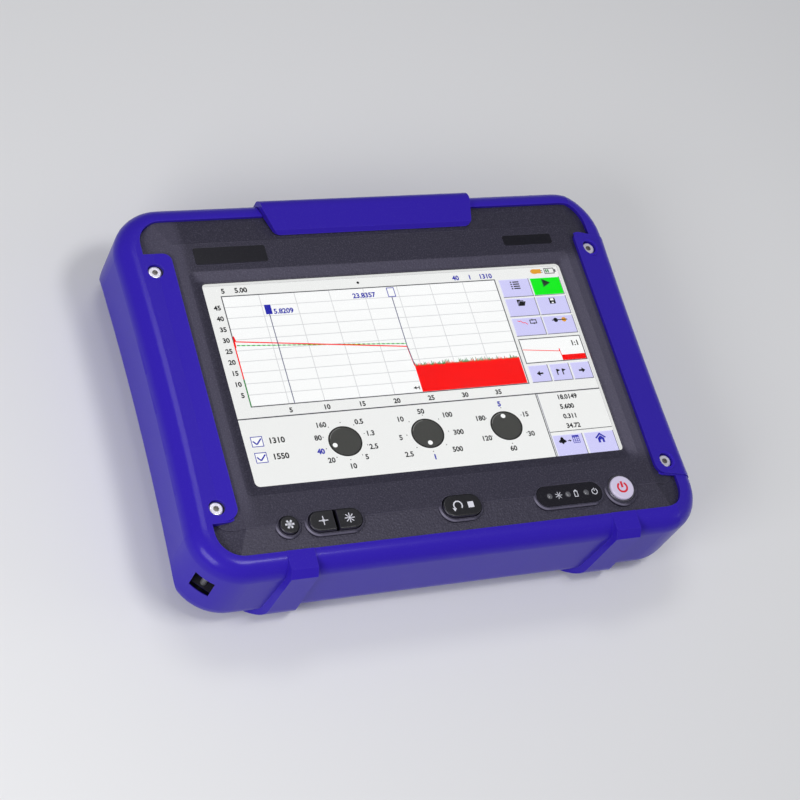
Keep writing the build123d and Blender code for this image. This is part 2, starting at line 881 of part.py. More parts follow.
def cut_rear(body):
    """Openings and recesses of the rear case half."""
    body -= bay_box(0, (back_height - 1, bay_wall_top + 1))
    body -= door_form(door_gap, (back_height - 1, back_height + door_thickness + door_seal_thickness))
    body -= stand_outline(stand_gap, (back_height - 1, stand_high + stand_gap))
    body -= block((-finger_half, finger_half), (stand_end_y - finger_depth, stand_end_y),
                  (back_height - 1, stand_high))
    half_bay = bay_length / 2
    body -= block((-half_bay, half_bay), (bay_floor, shell_high + 5), (bay_bottom, bay_top))
    body -= gasket_ring(seat_gap / 2, (split_height - gasket_depth, split_height + 1))
    groove = rod_x(cover_pin_y, cover_pin_height, (-cover_half_high, cover_half_high),
                   barrel_radius + cover_gap)
    body -= groove
    body += hinge_lugs()
    body -= cover_hinge_pin()
    for cut in corner_slots():
        body -= cut
    for frame in corner_frames():
        body -= frame * post(bumper_corner - lug_cover - strap_bar_inset, 0,
                             (slot_low - 1, slot_high + 1), strap_bar_radius)
    for x in (-case_screw_x, case_screw_x):
        for y in case_screw_rows:
            body -= post(x, y, (back_height - 1, split_height + 1), screw_radius + seat_gap)
            body -= post(x, y, (back_height - 1, back_height + case_screw_sink), head_radius + 0.3)
    body -= small_rear_holes()
    return body


def small_rear_holes():
    """Screw holes of the boards and the door, pin holes, pad recesses, ports and grille."""
    cuts = []
    for x in (-board_screw_x, board_screw_x):
        for y in board_screw_rows:
            cuts.append(post(x, y, (main_board_height - board_screw_bite - 1, main_board_height),
                             small_screw_radius))
    for x in port_screw_spots:
        cuts.append(post(x, port_screw_row, (port_board_height - board_screw_bite, port_board_height),
                         small_screw_radius))
    for x in (-door_screw_x, door_screw_x):
        cuts.append(post(x, door_screw_y, (back_height, bay_rim + 1.5), small_screw_radius))
    for x in (-pad_x, pad_x):
        for y in (-pad_y, pad_y):
            cuts.append(post(x, y, (back_height - 1, back_height + pad_recess), pad_radius + seat_gap))
    cuts += stand_pin_rods(0)
    for x in adapter_spots:
        cuts.append(rod_y(x, adapter_height, (bay_floor - shell_wall - 1, bay_floor + 1),
                          adapter_barrel + seat_gap))
    for x, width, low, height in socket_forms():
        cuts.append(block((x - width / 2 - seat_gap, x + width / 2 + seat_gap),
                          (bay_floor - shell_wall - 1, bay_floor + 1), (low, low + height + seat_gap)))
    spots = HexLocations(grille_pitch / 2, 2 * grille_rings + 1, 2 * grille_rings + 1)
    for spot in spots:
        if spot.position.length < grille_pitch * (grille_rings + 0.3):
            cuts.append(post(speaker_x + spot.position.X, speaker_y + spot.position.Y,
                             (back_height - 1, inner_floor + 1), grille_hole))
    return cuts


def socket_forms():
    """Place, width, foot height and height of each socket on the port board."""
    return ((usb_a_spot, usb_a_width, port_board_top, usb_a_height),
            (usb_c_spot, usb_c_width, port_board_top, usb_c_height),
            (jack_spot, jack_size, port_board_top, jack_size))


def stand_pin_rods(shrink):
    """The kickstand's two hinge pins."""
    outer = stand_half + stand_gap + stand_wall - 0.5
    inner = stand_half - stand_pin_reach
    rod = rod_x(stand_hinge_y, stand_axis, (inner, outer), stand_pin_radius - shrink)
    return [rod, mirror(rod, Plane.YZ)]


def case_screws():
    """Long screws through the rear half into the front half."""
    seat = back_height + case_screw_sink
    tip = split_height + case_screw_bite
    screw = screw_up(seat, tip, screw_radius, head_radius, head_height)
    return Compound([Pos(x, y, 0) * screw for x in (-case_screw_x, case_screw_x)
                     for y in case_screw_rows])


def screw_up(seat, tip, shank, head, height):
    """Screw whose head is below its seat and whose tip is above it, with a hexagon drive."""
    body = post(0, 0, (seat, tip), shank) + post(0, 0, (seat - height, seat), head)
    drive = extrude(RegularPolygon(head * 0.42, 6), height * 0.55)
    return body - Pos(0, 0, seat - height) * drive


def screw_down(seat, tip, shank, head, height):
    """Screw whose head is above its seat and whose tip is below it."""
    return mirror(screw_up(-seat, -tip, shank, head, height), Plane.XY)


def strap_screws():
    """Bright screws that hold the bumper's straps to the front case."""
    seat = strap_screw_seat
    screw = screw_down(seat, seat - strap_screw_length, screw_radius, head_radius, head_height)
    rims = screw.edges().group_by(Axis.Z)[-1].filter_by(GeomType.CIRCLE)
    screw = fillet(rims, head_height * 0.35)
    return Compound([Pos(x, y, 0) * screw for x in (-strap_screw_x, strap_screw_x)
                     for y in strap_screw_rows])


def back_pads():
    """Rubber pads that the tester lies on."""
    pad = post(0, 0, (0, back_height + pad_recess), pad_radius)
    pad = chamfer(pad.edges().group_by(Axis.Z)[0], 0.5)
    return Compound([Pos(x, y, 0) * pad for x in (-pad_x, pad_x) for y in (-pad_y, pad_y)])


def port_cover():
    """Hinged cover: a leg on the front face, a rounded shoulder and a wall down the top side."""
    gap = cover_gap
    hinge_z = cover_pin_height
    shoulder = cover_shoulder
    low = cover_low
    inside = [(low, face_height - panel_step - (low - panel_top) * border_fall + gap)]
    lip_y = plate_top + gap
    inside.append((lip_y, face_height - panel_step - (plate_top - panel_top) * border_fall + gap))
    inside.append((lip_y, face_height - rim_depth + gap))
    wall = shell_high + gap
    inside.append((wall, face_height - rim_depth + gap))
    inside.append((wall, hinge_z))
    outer = cover_outside
    lines = [Polyline([(0, y, z) for y, z in inside])]
    lines.append(Line((0, wall, hinge_z), (0, outer, hinge_z)))
    lines.append(Line((0, outer, hinge_z), (0, outer, cover_front - shoulder)))
    bend = shoulder * (1 - math.sqrt(0.5))
    middle = (outer - bend, cover_front - bend)
    lines.append(ThreePointArc((0, outer, cover_front - shoulder), (0, *middle),
                               (0, outer - shoulder, cover_front)))
    lines.append(Line((0, outer - shoulder, cover_front), (0, low + cover_bevel, cover_front)))
    lines.append(Line((0, low + cover_bevel, cover_front), (0, *inside[0])))
    body = extrude(make_face(lines), cover_half_high + 5, dir=(1, 0, 0), both=True)
    body = body & cover_outline(0, (0, face_height + 5))
    notch_top = hinge_z + barrel_radius + 2 * gap
    for span in lug_spans(gap):
        body -= block(span, (shell_high, outer + 1), (0, notch_top))
    body += cover_barrels(barrel_radius)
    body -= rod_x(cover_pin_y, hinge_z, (-cover_half_high, cover_half_high),
                  cover_pin_radius + pin_clearance)
    return body


def cover_barrels(radius):
    """Hinge barrels along the cover's rear edge."""
    barrels = []
    for side in (-1, 1):
        span = sorted((side * barrel_inner, side * barrel_outer))
        barrels.append(rod_x(cover_pin_y, cover_pin_height, span, radius))
    return barrels


def lug_spans(gap):
    """Stretches of X between the cover's barrels, widened by a gap."""
    end = cover_half_high
    clear = cover_gap
    middle = barrel_inner - clear + gap
    start = barrel_outer + clear - gap
    return ((-end, -start), (-middle, middle), (start, end))


def hinge_lugs():
    """Lugs on the rear case half that hold the cover's hinge pin."""
    lugs = []
    reach = (cover_pin_height - barrel_radius, cover_pin_height + barrel_radius)
    for span in lug_spans(0):
        lugs.append(rod_x(cover_pin_y, cover_pin_height, span, barrel_radius))
        lugs.append(block(span, (shell_high - 2, cover_pin_y), reach))
    return lugs


def cover_hinge_pin():
    """Steel pin of the port cover."""
    return rod_x(cover_pin_y, cover_pin_height, (-cover_half_high + 0.5, cover_half_high - 0.5),
                 cover_pin_radius)


def kickstand():
    """U-shaped stand folded into the back, with round hinge ends and a recess for its foot."""
    body = stand_outline(0, (stand_low, stand_high))
    radius = stand_thickness / 2
    keep = block((-half, half), (stand_end_y - 1, stand_hinge_y), (0, face_height))
    keep += rod_x(stand_hinge_y, stand_axis, (-half, half), radius)
    body = body & keep
    for rod in stand_pin_rods(-pin_clearance):
        body -= rod
    middle = stand_end_y + stand_bar / 2
    notch = stand_foot_width / 2
    body -= block((-stand_foot_half, stand_foot_half), (middle - notch, middle + notch),
                  (stand_low - 1, stand_low + stand_foot_depth))
    return body


def kickstand_foot():
    """Rubber strip on the stand's cross bar."""
    middle = stand_end_y + stand_bar / 2
    notch = stand_foot_width / 2
    return block((-stand_foot_half, stand_foot_half), (middle - notch, middle + notch),
                 (stand_low, stand_low + stand_foot_depth))


def kickstand_pins():
    """Steel pins that the stand turns on."""
    return Compound(stand_pin_rods(0))


def door_form(grow, z):
    """The battery door's outline."""
    return slab((-door_half - grow, door_half + grow), (door_low - grow, door_high + grow), z,
                door_corner)


def battery_door():
    """Battery door with a raised plug that fills the bay's mouth."""
    face = back_height + door_thickness
    ledge = face + door_seal_thickness
    body = door_form(0, (back_height, face))
    body += bay_box(-battery_gap, (face, battery_base))
    for x in (-door_screw_x, door_screw_x):
        body += post(x, door_screw_y, (face, ledge), small_head_radius)
        body -= post(x, door_screw_y, (back_height, ledge), small_screw_radius + seat_gap)
        body -= post(x, door_screw_y, (back_height, back_height + small_head_height),
                     small_head_radius + seat_gap)
    return body


def battery_door_seal():
    """Flat rubber frame between the battery door and its ledge."""
    face = back_height + door_thickness
    z = (face, face + door_seal_thickness)
    inner = 2 * seat_gap
    return bay_box(inner + door_seal_width, z) - bay_box(inner, (z[0] - 1, z[1] + 1))


def battery_door_screws():
    """Two small screws at the door's lower edge."""
    seat = back_height + small_head_height
    screw = screw_up(seat, bay_rim + 1, small_screw_radius, small_head_radius, small_head_height)
    return Compound([Pos(x, door_screw_y, 0) * screw for x in (-door_screw_x, door_screw_x)])


def battery_pack():
    """Flat lithium pack in its sleeve."""
    x = bay_half - battery_gap
    y = (bay_low + battery_gap, bay_high - battery_gap)
    return slab((-x, x), y, (battery_base, battery_top), battery_corner)


def battery_contacts():
    """Contact block between the pack and the main board."""
    x0, x1, y0, y1 = contact_block
    return block((x0, x1), (y0, y1), (battery_top, main_board_height))


def touch_glass():
    """Touch glass behind the window's lip."""
    x, y = glass_sizes(0)
    return block((-x, x), (-y, y), (glass_back, glass_height))


def foam_gasket():
    """Foam frame between the touch glass and the display."""
    x, y = glass_sizes(-1)
    z = (glass_back - foam_thickness, glass_back)
    ring = block((-x, x), (-y, y), z)
    width = foam_width
    return ring - block((width - x, x - width), (width - y, y - width), (z[0] - 1, z[1] + 1))


def display_module():
    """Seven inch liquid crystal module with its metal frame."""
    x = module_half_x
    y = module_half_y
    z = (module_back, glass_back - foam_thickness)
    body = block((-x, x), (-y, y), z)
    back_x = x - 6
    back_y = y - 6
    body -= block((-back_x, back_x), (-back_y, back_y), (module_back - 1, module_back + 0.8))
    return body


def display_frame():
    """Sheet metal frame with four ears that holds the display in the front case."""
    x = inner_reach
    y = module_half_y - 2
    z = (frame_low, frame_top)
    body = slab((-x, x), (-y, y), z, 3)
    for ear_x in (-frame_ear_x, frame_ear_x):
        for ear_y in (-frame_ear_y, frame_ear_y):
            inner = math.copysign(x - 4, ear_x)
            tab = sorted((inner, ear_x))
            body += block(tab, (ear_y - frame_ear_radius, ear_y + frame_ear_radius), z)
            body += post(ear_x, ear_y, z, frame_ear_radius)
            body -= post(ear_x, ear_y, z, small_screw_radius + seat_gap)
    pane = (x - 22) / 2
    for mid_x in (-x / 2, x / 2):
        for mid_y in (-y / 2, y / 2):
            body -= slab((mid_x - pane + 4, mid_x + pane - 4), (mid_y - y / 2 + 5, mid_y + y / 2 - 5),
                         (z[0] - 1, z[1] + 1), 4)
    return body


def display_screws():
    """Small screws through the display frame's ears."""
    screw = screw_up(frame_low, frame_top + frame_screw_bite, small_screw_radius,
                     small_head_radius, small_head_height)
    return Compound([Pos(x, y, 0) * screw for x in (-frame_ear_x, frame_ear_x)
                     for y in (-frame_ear_y, frame_ear_y)])


def display_flex():
    """Flat cable from the display's lower edge down to its socket on the main board."""
    x0, x1, y0, y1 = display_socket
    edge = -module_half_y
    top = module_back + module_thickness / 2
    base = main_board_top + socket_rise
    out = edge - flex_reach
    skin = flex_thickness
    outline = [(edge, top), (out, top), (out, base), (y0, base), (y0, base + skin)]
    outline += [(out + skin, base + skin), (out + skin, top - skin), (edge, top - skin)]
    strip = across(outline, x1 - x0 - 1)
    return Pos((x0 + x1) / 2, 0, 0) * strip


def main_board():
    """Main circuit board with the display's socket."""
    body = slab((-main_board_half, main_board_half), (main_board_low, main_board_high),
                (main_board_height, main_board_top), 2)
    for x in (-board_screw_x, board_screw_x):
        for y in board_screw_rows:
            body -= post(x, y, (main_board_height, main_board_top), small_screw_radius + seat_gap)
    x0, x1, y0, y1 = display_socket
    return body + block((x0, x1), (y0, y1), (main_board_top, main_board_top + 2 * socket_rise))


def board_chips():
    """Processor, memory and converter packages on the main board."""
    chips = []
    for x, y, size in chip_spots:
        chip = block((x - size / 2, x + size / 2), (y - size / 2, y + size / 2),
                     (main_board_top, main_board_top + chip_height))
        chips.append(chamfer(chip.edges().group_by(Axis.Z)[-1], 0.2))
    return Compound(chips)


def shield_can():
    """Stepped metal shield over the receiver's amplifier."""
    x0, x1, y0, y1 = shield_box
    z = (main_board_top, main_board_top + shield_height)
    can = slab((x0, x1), (y0, y1), z, 1.5) - slab((x0 + 0.4, x1 - 0.4), (y0 + 0.4, y1 - 0.4),
                                                  (z[0] - 1, z[1] - 0.4), 1.1)
    for x in (x0 + 8, x1 - 8):
        for y in (y0 + 8, y1 - 8):
            can -= post(x, y, (z[1] - 1, z[1] + 1), 1.2)
    return can


def board_screws():
    """Small screws of the main board and the port board."""
    screws = []
    screw = screw_down(main_board_top, main_board_height - board_screw_bite, small_screw_radius,
                       small_head_radius, small_head_height)
    for x in (-board_screw_x, board_screw_x):
        for y in board_screw_rows:
            screws.append(Pos(x, y, 0) * screw)
    screw = screw_down(port_board_top, port_board_height - board_screw_bite + 0.5, small_screw_radius,
                       small_head_radius, small_head_height)
    for x in port_screw_spots:
        screws.append(Pos(x, port_screw_row, 0) * screw)
    return Compound(screws)


def key_board():
    """Narrow circuit board under the keys."""
    y = (key_line - key_board_width / 2, key_line + key_board_width / 2)
    body = slab((key_board_left, key_board_right), y, (key_board_height, key_board_top), 2)
    for x in key_screw_spots:
        body -= post(x, key_line, (key_board_height, key_board_top), small_screw_radius + seat_gap)
    return body


def key_posts():
    """Places of the five key posts along the keys' line."""
    quarter = bright_key_length / 4
    return (round_key_x, bright_key_x - quarter, bright_key_x + quarter, start_key_x, power_key_x)


def key_switches():
    """Push switches on the key board."""
    size = switch_size / 2
    base = block((-size, size), (-size, size), (key_board_top, key_board_top + switch_height))
    base = chamfer(base.edges().filter_by(Axis.Z), 0.5)
    base += post(0, 0, (key_board_top, switch_top), plunger_radius)
    return Compound([Pos(x, key_line, 0) * base for x in key_posts()])


def key_board_screws():
    """Small screws that hold the key board to the front case."""
    screw = screw_up(key_board_height, inner_face - 2.5, small_screw_radius, small_head_radius,
                     small_head_height)
    return Compound([Pos(x, key_line, 0) * screw for x in key_screw_spots])


def lamp_spots():
    """Places of the three status lamps."""
    return [lamp_first_x + lamp_pitch * i for i in range(3)]


def status_lamps():
    """Three small lamps on the key board."""
    lamp = block((-1.6, 1.6), (-0.8, 0.8), (key_board_top, key_board_top + lamp_height))
    return Compound([Pos(x, key_line, 0) * lamp for x in lamp_spots()])


def lamp_guides():
    """Clear rods that carry the lamps' light up to the window."""
    low = key_board_top + lamp_height + cover_gap
    rod = post(0, 0, (low, key_stop - key_flange_thickness), lamp_radius)
    return Compound([Pos(x, key_line, 0) * rod for x in lamp_spots()])


def lamp_window():
    """Black status lamp window, held from behind by its flange."""
    body = key_form("lamp_window", 0, (key_stop - 0.2, face_height + label_proud))
    return body + key_form("lamp_window", key_flange, (key_stop - key_flange_thickness, key_stop))


def key_cap(name, tip):
    """Cap of a key: a domed button on a flange that rests below the front case's wall."""
    top = face_height + key_proud
    cap = key_form(name, 0, (key_stop - 0.2, top))
    cap = fillet(cap.edges().group_by(Axis.Z)[-1], key_edge_round)
    cap += key_form(name, key_flange, (key_stop - key_flange_thickness, key_stop))
    return cap + post(tip, key_line, (switch_top + key_travel + seat_gap, key_stop), key_post_radius)


def round_button():
    """Small round menu key."""
    return key_cap("round_key", key_posts()[0])


def bright_key(side):
    """One half of the two-part brightness key."""
    cap = key_cap("bright_keys", bright_key_x + side * bright_key_length / 4)
    near = bright_key_x + side * bright_key_split / 2
    far = bright_key_x + side * bright_key_length
    return cap & block(sorted((near, far)), (key_line - 20, key_line + 20), (0, face_height + 5))


def brightness_down_button():
    """Left half of the brightness key."""
    return bright_key(-1)


def brightness_up_button():
    """Right half of the brightness key."""
    return bright_key(1)


def start_stop_button():
    """Start and stop key."""
    return key_cap("start_key", key_posts()[3])


def power_button():
    """Round power key."""
    return key_cap("power_key", key_posts()[4])


def power_ring():
    """Metal ring set into the front face round the power key."""
    z = (face_height - 1, face_height + key_surround_rise)
    ring = key_form("power_key", power_ring_width, z)
    ring = chamfer(ring.edges().group_by(Axis.Z)[-1], power_ring_bevel)
    return ring - key_form("power_key", key_gap, (z[0] - 1, z[1] + 1))


def label_plate(sizes):
    """Thin plate sunk into the front face."""
    x0, x1, y0, y1 = sizes
    z = (face_height - label_thickness + label_proud, face_height + label_proud)
    edge = label_gap
    return slab((x0 + edge, x1 - edge), (y0 + edge, y1 - edge), z, label_corner)


def label_plate_left():
    """Wide dark plate over the display's left side."""
    return label_plate(plate_a)


def label_plate_right():
    """Small dark plate over the display's right side."""
    return label_plate(plate_b)


def optical_module():
    """Metal box that holds the laser, coupler and receiver."""
    z = (optics_base, optics_top)
    body = slab((optics_left, optics_right), (optics_low, optics_high), z, optics_corner)
    wall = optics_wall
    room = slab((optics_left + wall, optics_right - wall), (optics_low + wall, optics_high - wall),
                (optics_base + wall, optics_top + 1), optics_corner)
    body -= room
    for x in tube_starts:
        body -= rod_y(x, tube_height, (optics_high - wall - 1, optics_high + 1), tube_radius)
    return body


def optical_lid():
    """Lid of the optical module."""
    return slab((optics_left, optics_right), (optics_low, optics_high),
                (optics_top, optics_top + optics_lid), optics_corner)


def tray_middle():
    """Middle of the fibre tray."""
    return Pos((optics_left + optics_right) / 2, tray_y, 0)


def fibre_tray():
    """Round tray with a hub and a rim, for the spare fibre."""
    base = optics_top + optics_lid
    z = (base, base + tray_wall)
    top = base + tray_height
    body = post(0, 0, z, tray_radius) + post(0, 0, (base, top), tray_radius)
    body -= post(0, 0, (z[1], top + 1), tray_radius - tray_wall)
    body += post(0, 0, (base, top), tray_hub) - post(0, 0, (z[1], top + 1), tray_hub - tray_wall)
    return tray_middle() * body


def fibre_coil():
    """Coil of spare fibre in the tray."""
    low = optics_top + optics_lid + tray_wall
    ring = post(0, 0, (low, low + coil_height), coil_outer)
    ring = fillet(ring.edges(), coil_height * 0.3)
    return tray_middle() * (ring - post(0, 0, (low - 1, low + coil_height + 1), coil_inner))


def fibre_pigtails():
    """Two buffered fibres from the optical module to the adapters' tails."""
    tubes = []
    for start, row, end in zip(sorted(tube_starts, reverse=True), tube_run_rows, sorted(adapter_spots)):
        points = [(start, optics_high - optics_wall, tube_height), (start, row, tube_height),
                  (end, row, tube_height), (end, tube_end_y, tube_height)]
        bend = min(tube_bend, tube_end_y - row - 0.3, row - optics_high + optics_wall - 0.3)
        path = FilletPolyline(*points, radius=bend)
        section = Plane(origin=points[0], z_dir=(0, 1, 0)) * Circle(tube_radius)
        tubes.append(sweep(section, path=path))
    return Compound(tubes)


def optical_adapters():
    """Adapters for the fibre connectors, clamped in the port bay's floor."""
    y = bay_floor
    body = rod_y(0, adapter_height, (y - adapter_tail, y + adapter_reach), adapter_barrel)
    flange = block((-adapter_flange, adapter_flange), (y, y + adapter_flange_thickness),
                   (adapter_height - adapter_flange, adapter_height + adapter_flange))
    body += chamfer(flange.edges().filter_by(Axis.Y), 1.5)
    body -= rod_y(0, adapter_height, (y - adapter_tail + 3, y + adapter_reach + 1), adapter_bore)
    return Compound([Pos(x, 0, 0) * body for x in adapter_spots])


def adapter_nuts():
    """Hexagon nuts behind the port bay's floor."""
    inner = bay_floor - shell_wall
    nut = extrude(RegularPolygon(nut_radius, 6), nut_thickness)
    nut = Pos(0, inner, adapter_height) * Rot(90, 0, 0) * nut
    nut -= rod_y(0, adapter_height, (inner - nut_thickness - 1, inner + 1), adapter_barrel)
    return Compound([Pos(x, 0, 0) * nut for x in adapter_spots])


def dust_caps():
    """Rubber caps pushed over the adapters."""
    low = bay_floor + adapter_flange_thickness
    high = bay_floor + adapter_reach
    cap = rod_y(0, adapter_height, (low, high + cap_stand), adapter_barrel + cap_wall)
    cap = fillet(cap.edges().group_by(Axis.Y)[-1], 0.5)
    cap -= rod_y(0, adapter_height, (low - 1, high), adapter_barrel)
    return Compound([Pos(x, 0, 0) * cap for x in adapter_spots])


def port_board():
    """Small circuit board that carries the sockets."""
    y = (port_board_low, bay_floor - shell_wall - seat_gap)
    body = block((port_board_left, port_board_right), y, (port_board_height, port_board_top))
    for x in port_screw_spots:
        body -= post(x, port_screw_row, (port_board_height, port_board_top),
                     small_screw_radius + seat_gap)
    return body


def socket_shell(form, front):
    """Metal shell of a flat socket, open at its front."""
    x, width, low, height = form
    y = (bay_floor - socket_depth, front)
    body = block((x - width / 2, x + width / 2), y, (low, low + height))
    wall = socket_wall
    body -= block((x - width / 2 + wall, x + width / 2 - wall), (y[0] + 2, front + 1),
                  (low + wall, low + height - wall))
    return body


def usb_a_socket():
    """Wide flat socket with its tongue."""
    form = socket_forms()[0]
    x, width, low, height = form
    body = socket_shell(form, bay_floor)
    top = low + height - socket_wall - 0.4
    return body + block((x - width / 2 + 1, x + width / 2 - 1), (bay_floor - socket_depth + 1, bay_floor - 1),
                        (top - tongue_thickness, top))


def usb_c_socket():
    """Small oval socket with its middle tongue."""
    x, width, low, height = socket_forms()[1]
    middle = low + height / 2
    shell = Rot(90, 0, 0) * extrude(SlotOverall(width, height), socket_depth)
    shell -= Rot(90, 0, 0) * extrude(SlotOverall(width - 2 * socket_wall, height - 2 * socket_wall),
                                     socket_depth - 2)
    shell += block((-width / 2 + 1.4, width / 2 - 1.4), (-socket_depth + 1, -0.8), (-0.35, 0.35))
    return Pos(x, bay_floor, middle) * shell


def power_socket():
    """Round power socket in a square body, with its middle pin."""
    x, width, low, height = socket_forms()[2]
    y = (bay_floor - socket_depth, bay_floor)
    middle = low + height / 2
    body = block((x - width / 2, x + width / 2), y, (low, low + height))
    body -= rod_y(x, middle, (y[0] + 3, y[1] + 1), jack_bore)
    return body + rod_y(x, middle, (y[0] + 2, y[1] - 0.6), jack_pin)


def speaker():
    """Small round speaker on the floor of the rear half."""
    top = inner_floor + speaker_height
    body = post(speaker_x, speaker_y, (inner_floor, inner_floor + 1.5), speaker_radius)
    body += post(speaker_x, speaker_y, (inner_floor, top), speaker_radius * 0.66)
    body -= post(speaker_x, speaker_y, (inner_floor - 1, inner_floor + 0.8), speaker_radius - 1.2)
    return body


parts = [bumper, strap_screws, strap_bars, front_housing, housing_gasket, rear_housing,
         case_screws, back_pads, port_cover, cover_hinge_pin, kickstand, kickstand_foot,
         kickstand_pins, battery_door, battery_door_seal, battery_door_screws, battery_pack,
         battery_contacts, touch_glass, foam_gasket, display_module, display_frame,
         display_screws, display_flex, main_board, board_chips, shield_can, board_screws,
         key_board, key_switches, key_board_screws, status_lamps, lamp_window, lamp_guides,
         round_button, brightness_down_button, brightness_up_button, start_stop_button,
         power_button, power_ring, label_plate_left, label_plate_right, optical_module,
         optical_lid, fibre_tray, fibre_coil, fibre_pigtails, optical_adapters, adapter_nuts,
         dust_caps, port_board, usb_a_socket, usb_c_socket, power_socket, speaker]

os.makedirs("parts", exist_ok=True)
for make in parts:
    export_step(make(), f"parts/{make.__name__}.step")
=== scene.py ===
# %% [markdown]
# # An optical time domain reflectometer, dressed piece by piece
#
# The tester on the table is a handheld instrument for optical fibres. A grey case
# sits in a thick violet rubber bumper, a seven inch touch screen fills its front,
# and a row of small keys runs below the screen. The solids come from a CAD model
# that is already packed, so nothing here moves or resizes them. This lesson gives
# every solid a finish, lights the screen, prints the icons on the keys, and sets up
# a camera for a photograph of the result.
#
# The first cell loads the imported solids, bakes their placement into their meshes,
# and gives a helper that reads the box round one solid.

# %% Load the tester's solids
import math

import bpy
import numpy as np
from mathutils import Matrix, Vector


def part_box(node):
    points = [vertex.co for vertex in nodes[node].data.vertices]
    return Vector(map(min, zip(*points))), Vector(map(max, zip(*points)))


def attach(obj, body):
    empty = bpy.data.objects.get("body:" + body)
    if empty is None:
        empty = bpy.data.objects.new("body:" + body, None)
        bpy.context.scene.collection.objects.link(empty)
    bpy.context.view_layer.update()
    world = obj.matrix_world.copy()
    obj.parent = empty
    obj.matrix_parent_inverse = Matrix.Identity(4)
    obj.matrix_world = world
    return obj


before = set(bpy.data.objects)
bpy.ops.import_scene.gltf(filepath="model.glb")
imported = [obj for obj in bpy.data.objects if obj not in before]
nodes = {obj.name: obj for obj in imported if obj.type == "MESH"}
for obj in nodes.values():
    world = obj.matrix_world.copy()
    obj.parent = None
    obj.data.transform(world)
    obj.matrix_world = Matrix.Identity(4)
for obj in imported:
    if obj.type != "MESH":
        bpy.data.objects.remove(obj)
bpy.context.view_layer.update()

MM = 0.001


# %% [markdown]
# ## The photographer's place
#
# A picture is taken again from the same place by solving for the camera: the four
# corners of the screen are known in millimetres and were read off the picture. The
# answer is a long lens about 80 cm away, above and to the left of the tester, and
# turned a little about its own axis. A camera could also be aimed with a constraint,
# but then the turn about the axis would have to be guessed.

# %% Camera at the photograph's angle
camera_data = bpy.data.cameras.new("camera")
camera_data.sensor_width = 36.0
camera_data.lens = 95.26
camera = bpy.data.objects.new("camera", camera_data)
bpy.context.scene.collection.objects.link(camera)

camera_right = Vector((0.903, -0.267, 0.336)).normalized()
camera_forward = Vector((0.422, 0.409, -0.809)).normalized()
camera_up = camera_right.cross(camera_forward).normalized()
camera_right = camera_forward.cross(camera_up).normalized()
turn = Matrix((camera_right, camera_up, -camera_forward)).transposed().to_4x4()
camera.matrix_world = Matrix.Translation(Vector((-348.4, -340.1, 687.8)) * MM) @ turn
bpy.context.scene.camera = camera
bpy.context.scene.view_settings.view_transform = "Standard"
print("camera", tuple(round(value, 3) for value in camera.location))

# %% [markdown]
# ## Numbers for colours
#
# Colours are easiest to read off a screen as three numbers up to 255, but shaders
# add light, so they want linear values. This small function goes from the first to
# the second.


# %% Colour from screen values
def tint(red, green, blue):
    """Linear colour for screen values: c/12.92 below 0.04, ((c + 0.055)/1.055)**2.4 above."""
    share = np.array([red, green, blue]) / 255
    linear = np.where(share <= 0.04045, share / 12.92, ((share + 0.055) / 1.055) ** 2.4)
    return (*(float(value) for value in linear), 1.0)


print("violet rubber", tint(58, 40, 170))

# %% [markdown]
# ## A plain table and soft light
#
# The table is one large pale sheet. The light is that of a small studio with four
# softboxes: one low at the front left, one almost straight above the tester, a weaker
# one above and behind it, and a broad one at the right. The room itself is pale. The
# lamp overhead is found from the picture: a rolled edge shows its highlight where its
# slope halves the angle between the lens and the lamp. A sun lamp would draw hard
# spots on the rubber instead.


# %% Table and backdrop
def plane_mesh(name, half_x, half_y, height):
    """Flat rectangle: corners at plus and minus the half sizes, at one height."""
    corners = np.array([[-1, -1], [1, -1], [1, 1], [-1, 1]]) * (half_x, half_y)
    points = np.c_[corners, np.full(4, height)]
    mesh = bpy.data.meshes.new(name)
    mesh.from_pydata(points.tolist(), [], [(0, 1, 2, 3)])
    made = bpy.data.objects.new(name, mesh)
    bpy.context.scene.collection.objects.link(made)
    return made


table = plane_mesh("table", 4.0, 4.0, -0.0002)
paper = bpy.data.materials.new("pale_paper")
paper.use_nodes = True
paper_face = paper.node_tree.nodes["Principled BSDF"]
paper_face.inputs["Base Color"].default_value = (0.8, 0.8, 0.81, 1)
paper_face.inputs["Roughness"].default_value = 0.75
paper_face.inputs["Specular IOR Level"].default_value = 0.2
table.data.materials.append(paper)

world = bpy.data.worlds.new("room")
bpy.context.scene.world = world
world.use_nodes = True
world.node_tree.nodes["Background"].inputs["Color"].default_value = (0.93, 0.95, 1.0, 1)
world.node_tree.nodes["Background"].inputs["Strength"].default_value = 0.25


# %% Softboxes
def softbox(name, place, aim, size, watts):
    """Rectangular area lamp at a place, facing a point."""
    data = bpy.data.lights.new(name, "AREA")
    data.shape = "RECTANGLE"
    data.size, data.size_y = size
    data.energy = watts
    lamp = bpy.data.objects.new(name, data)
    bpy.context.scene.collection.objects.link(lamp)
    way = Vector(aim) - Vector(place)
    lamp.rotation_euler = way.to_track_quat("-Z", "Y").to_euler()
    lamp.location = place


softbox("left_light", (-0.55, -0.3, 0.38), (0, 0, 0.03), (0.35, 0.25), 2.3)
softbox("top_light", (0.14, -0.14, 0.85), (0, 0, 0.03), (0.24, 0.16), 2.1)
softbox("back_light", (-0.04, 0.37, 0.85), (0, 0, 0.03), (0.4, 0.2), 1.2)
softbox("right_light", (0.9, -0.3, 0.45), (0, 0, 0.02), (0.5, 0.4), 0.9)

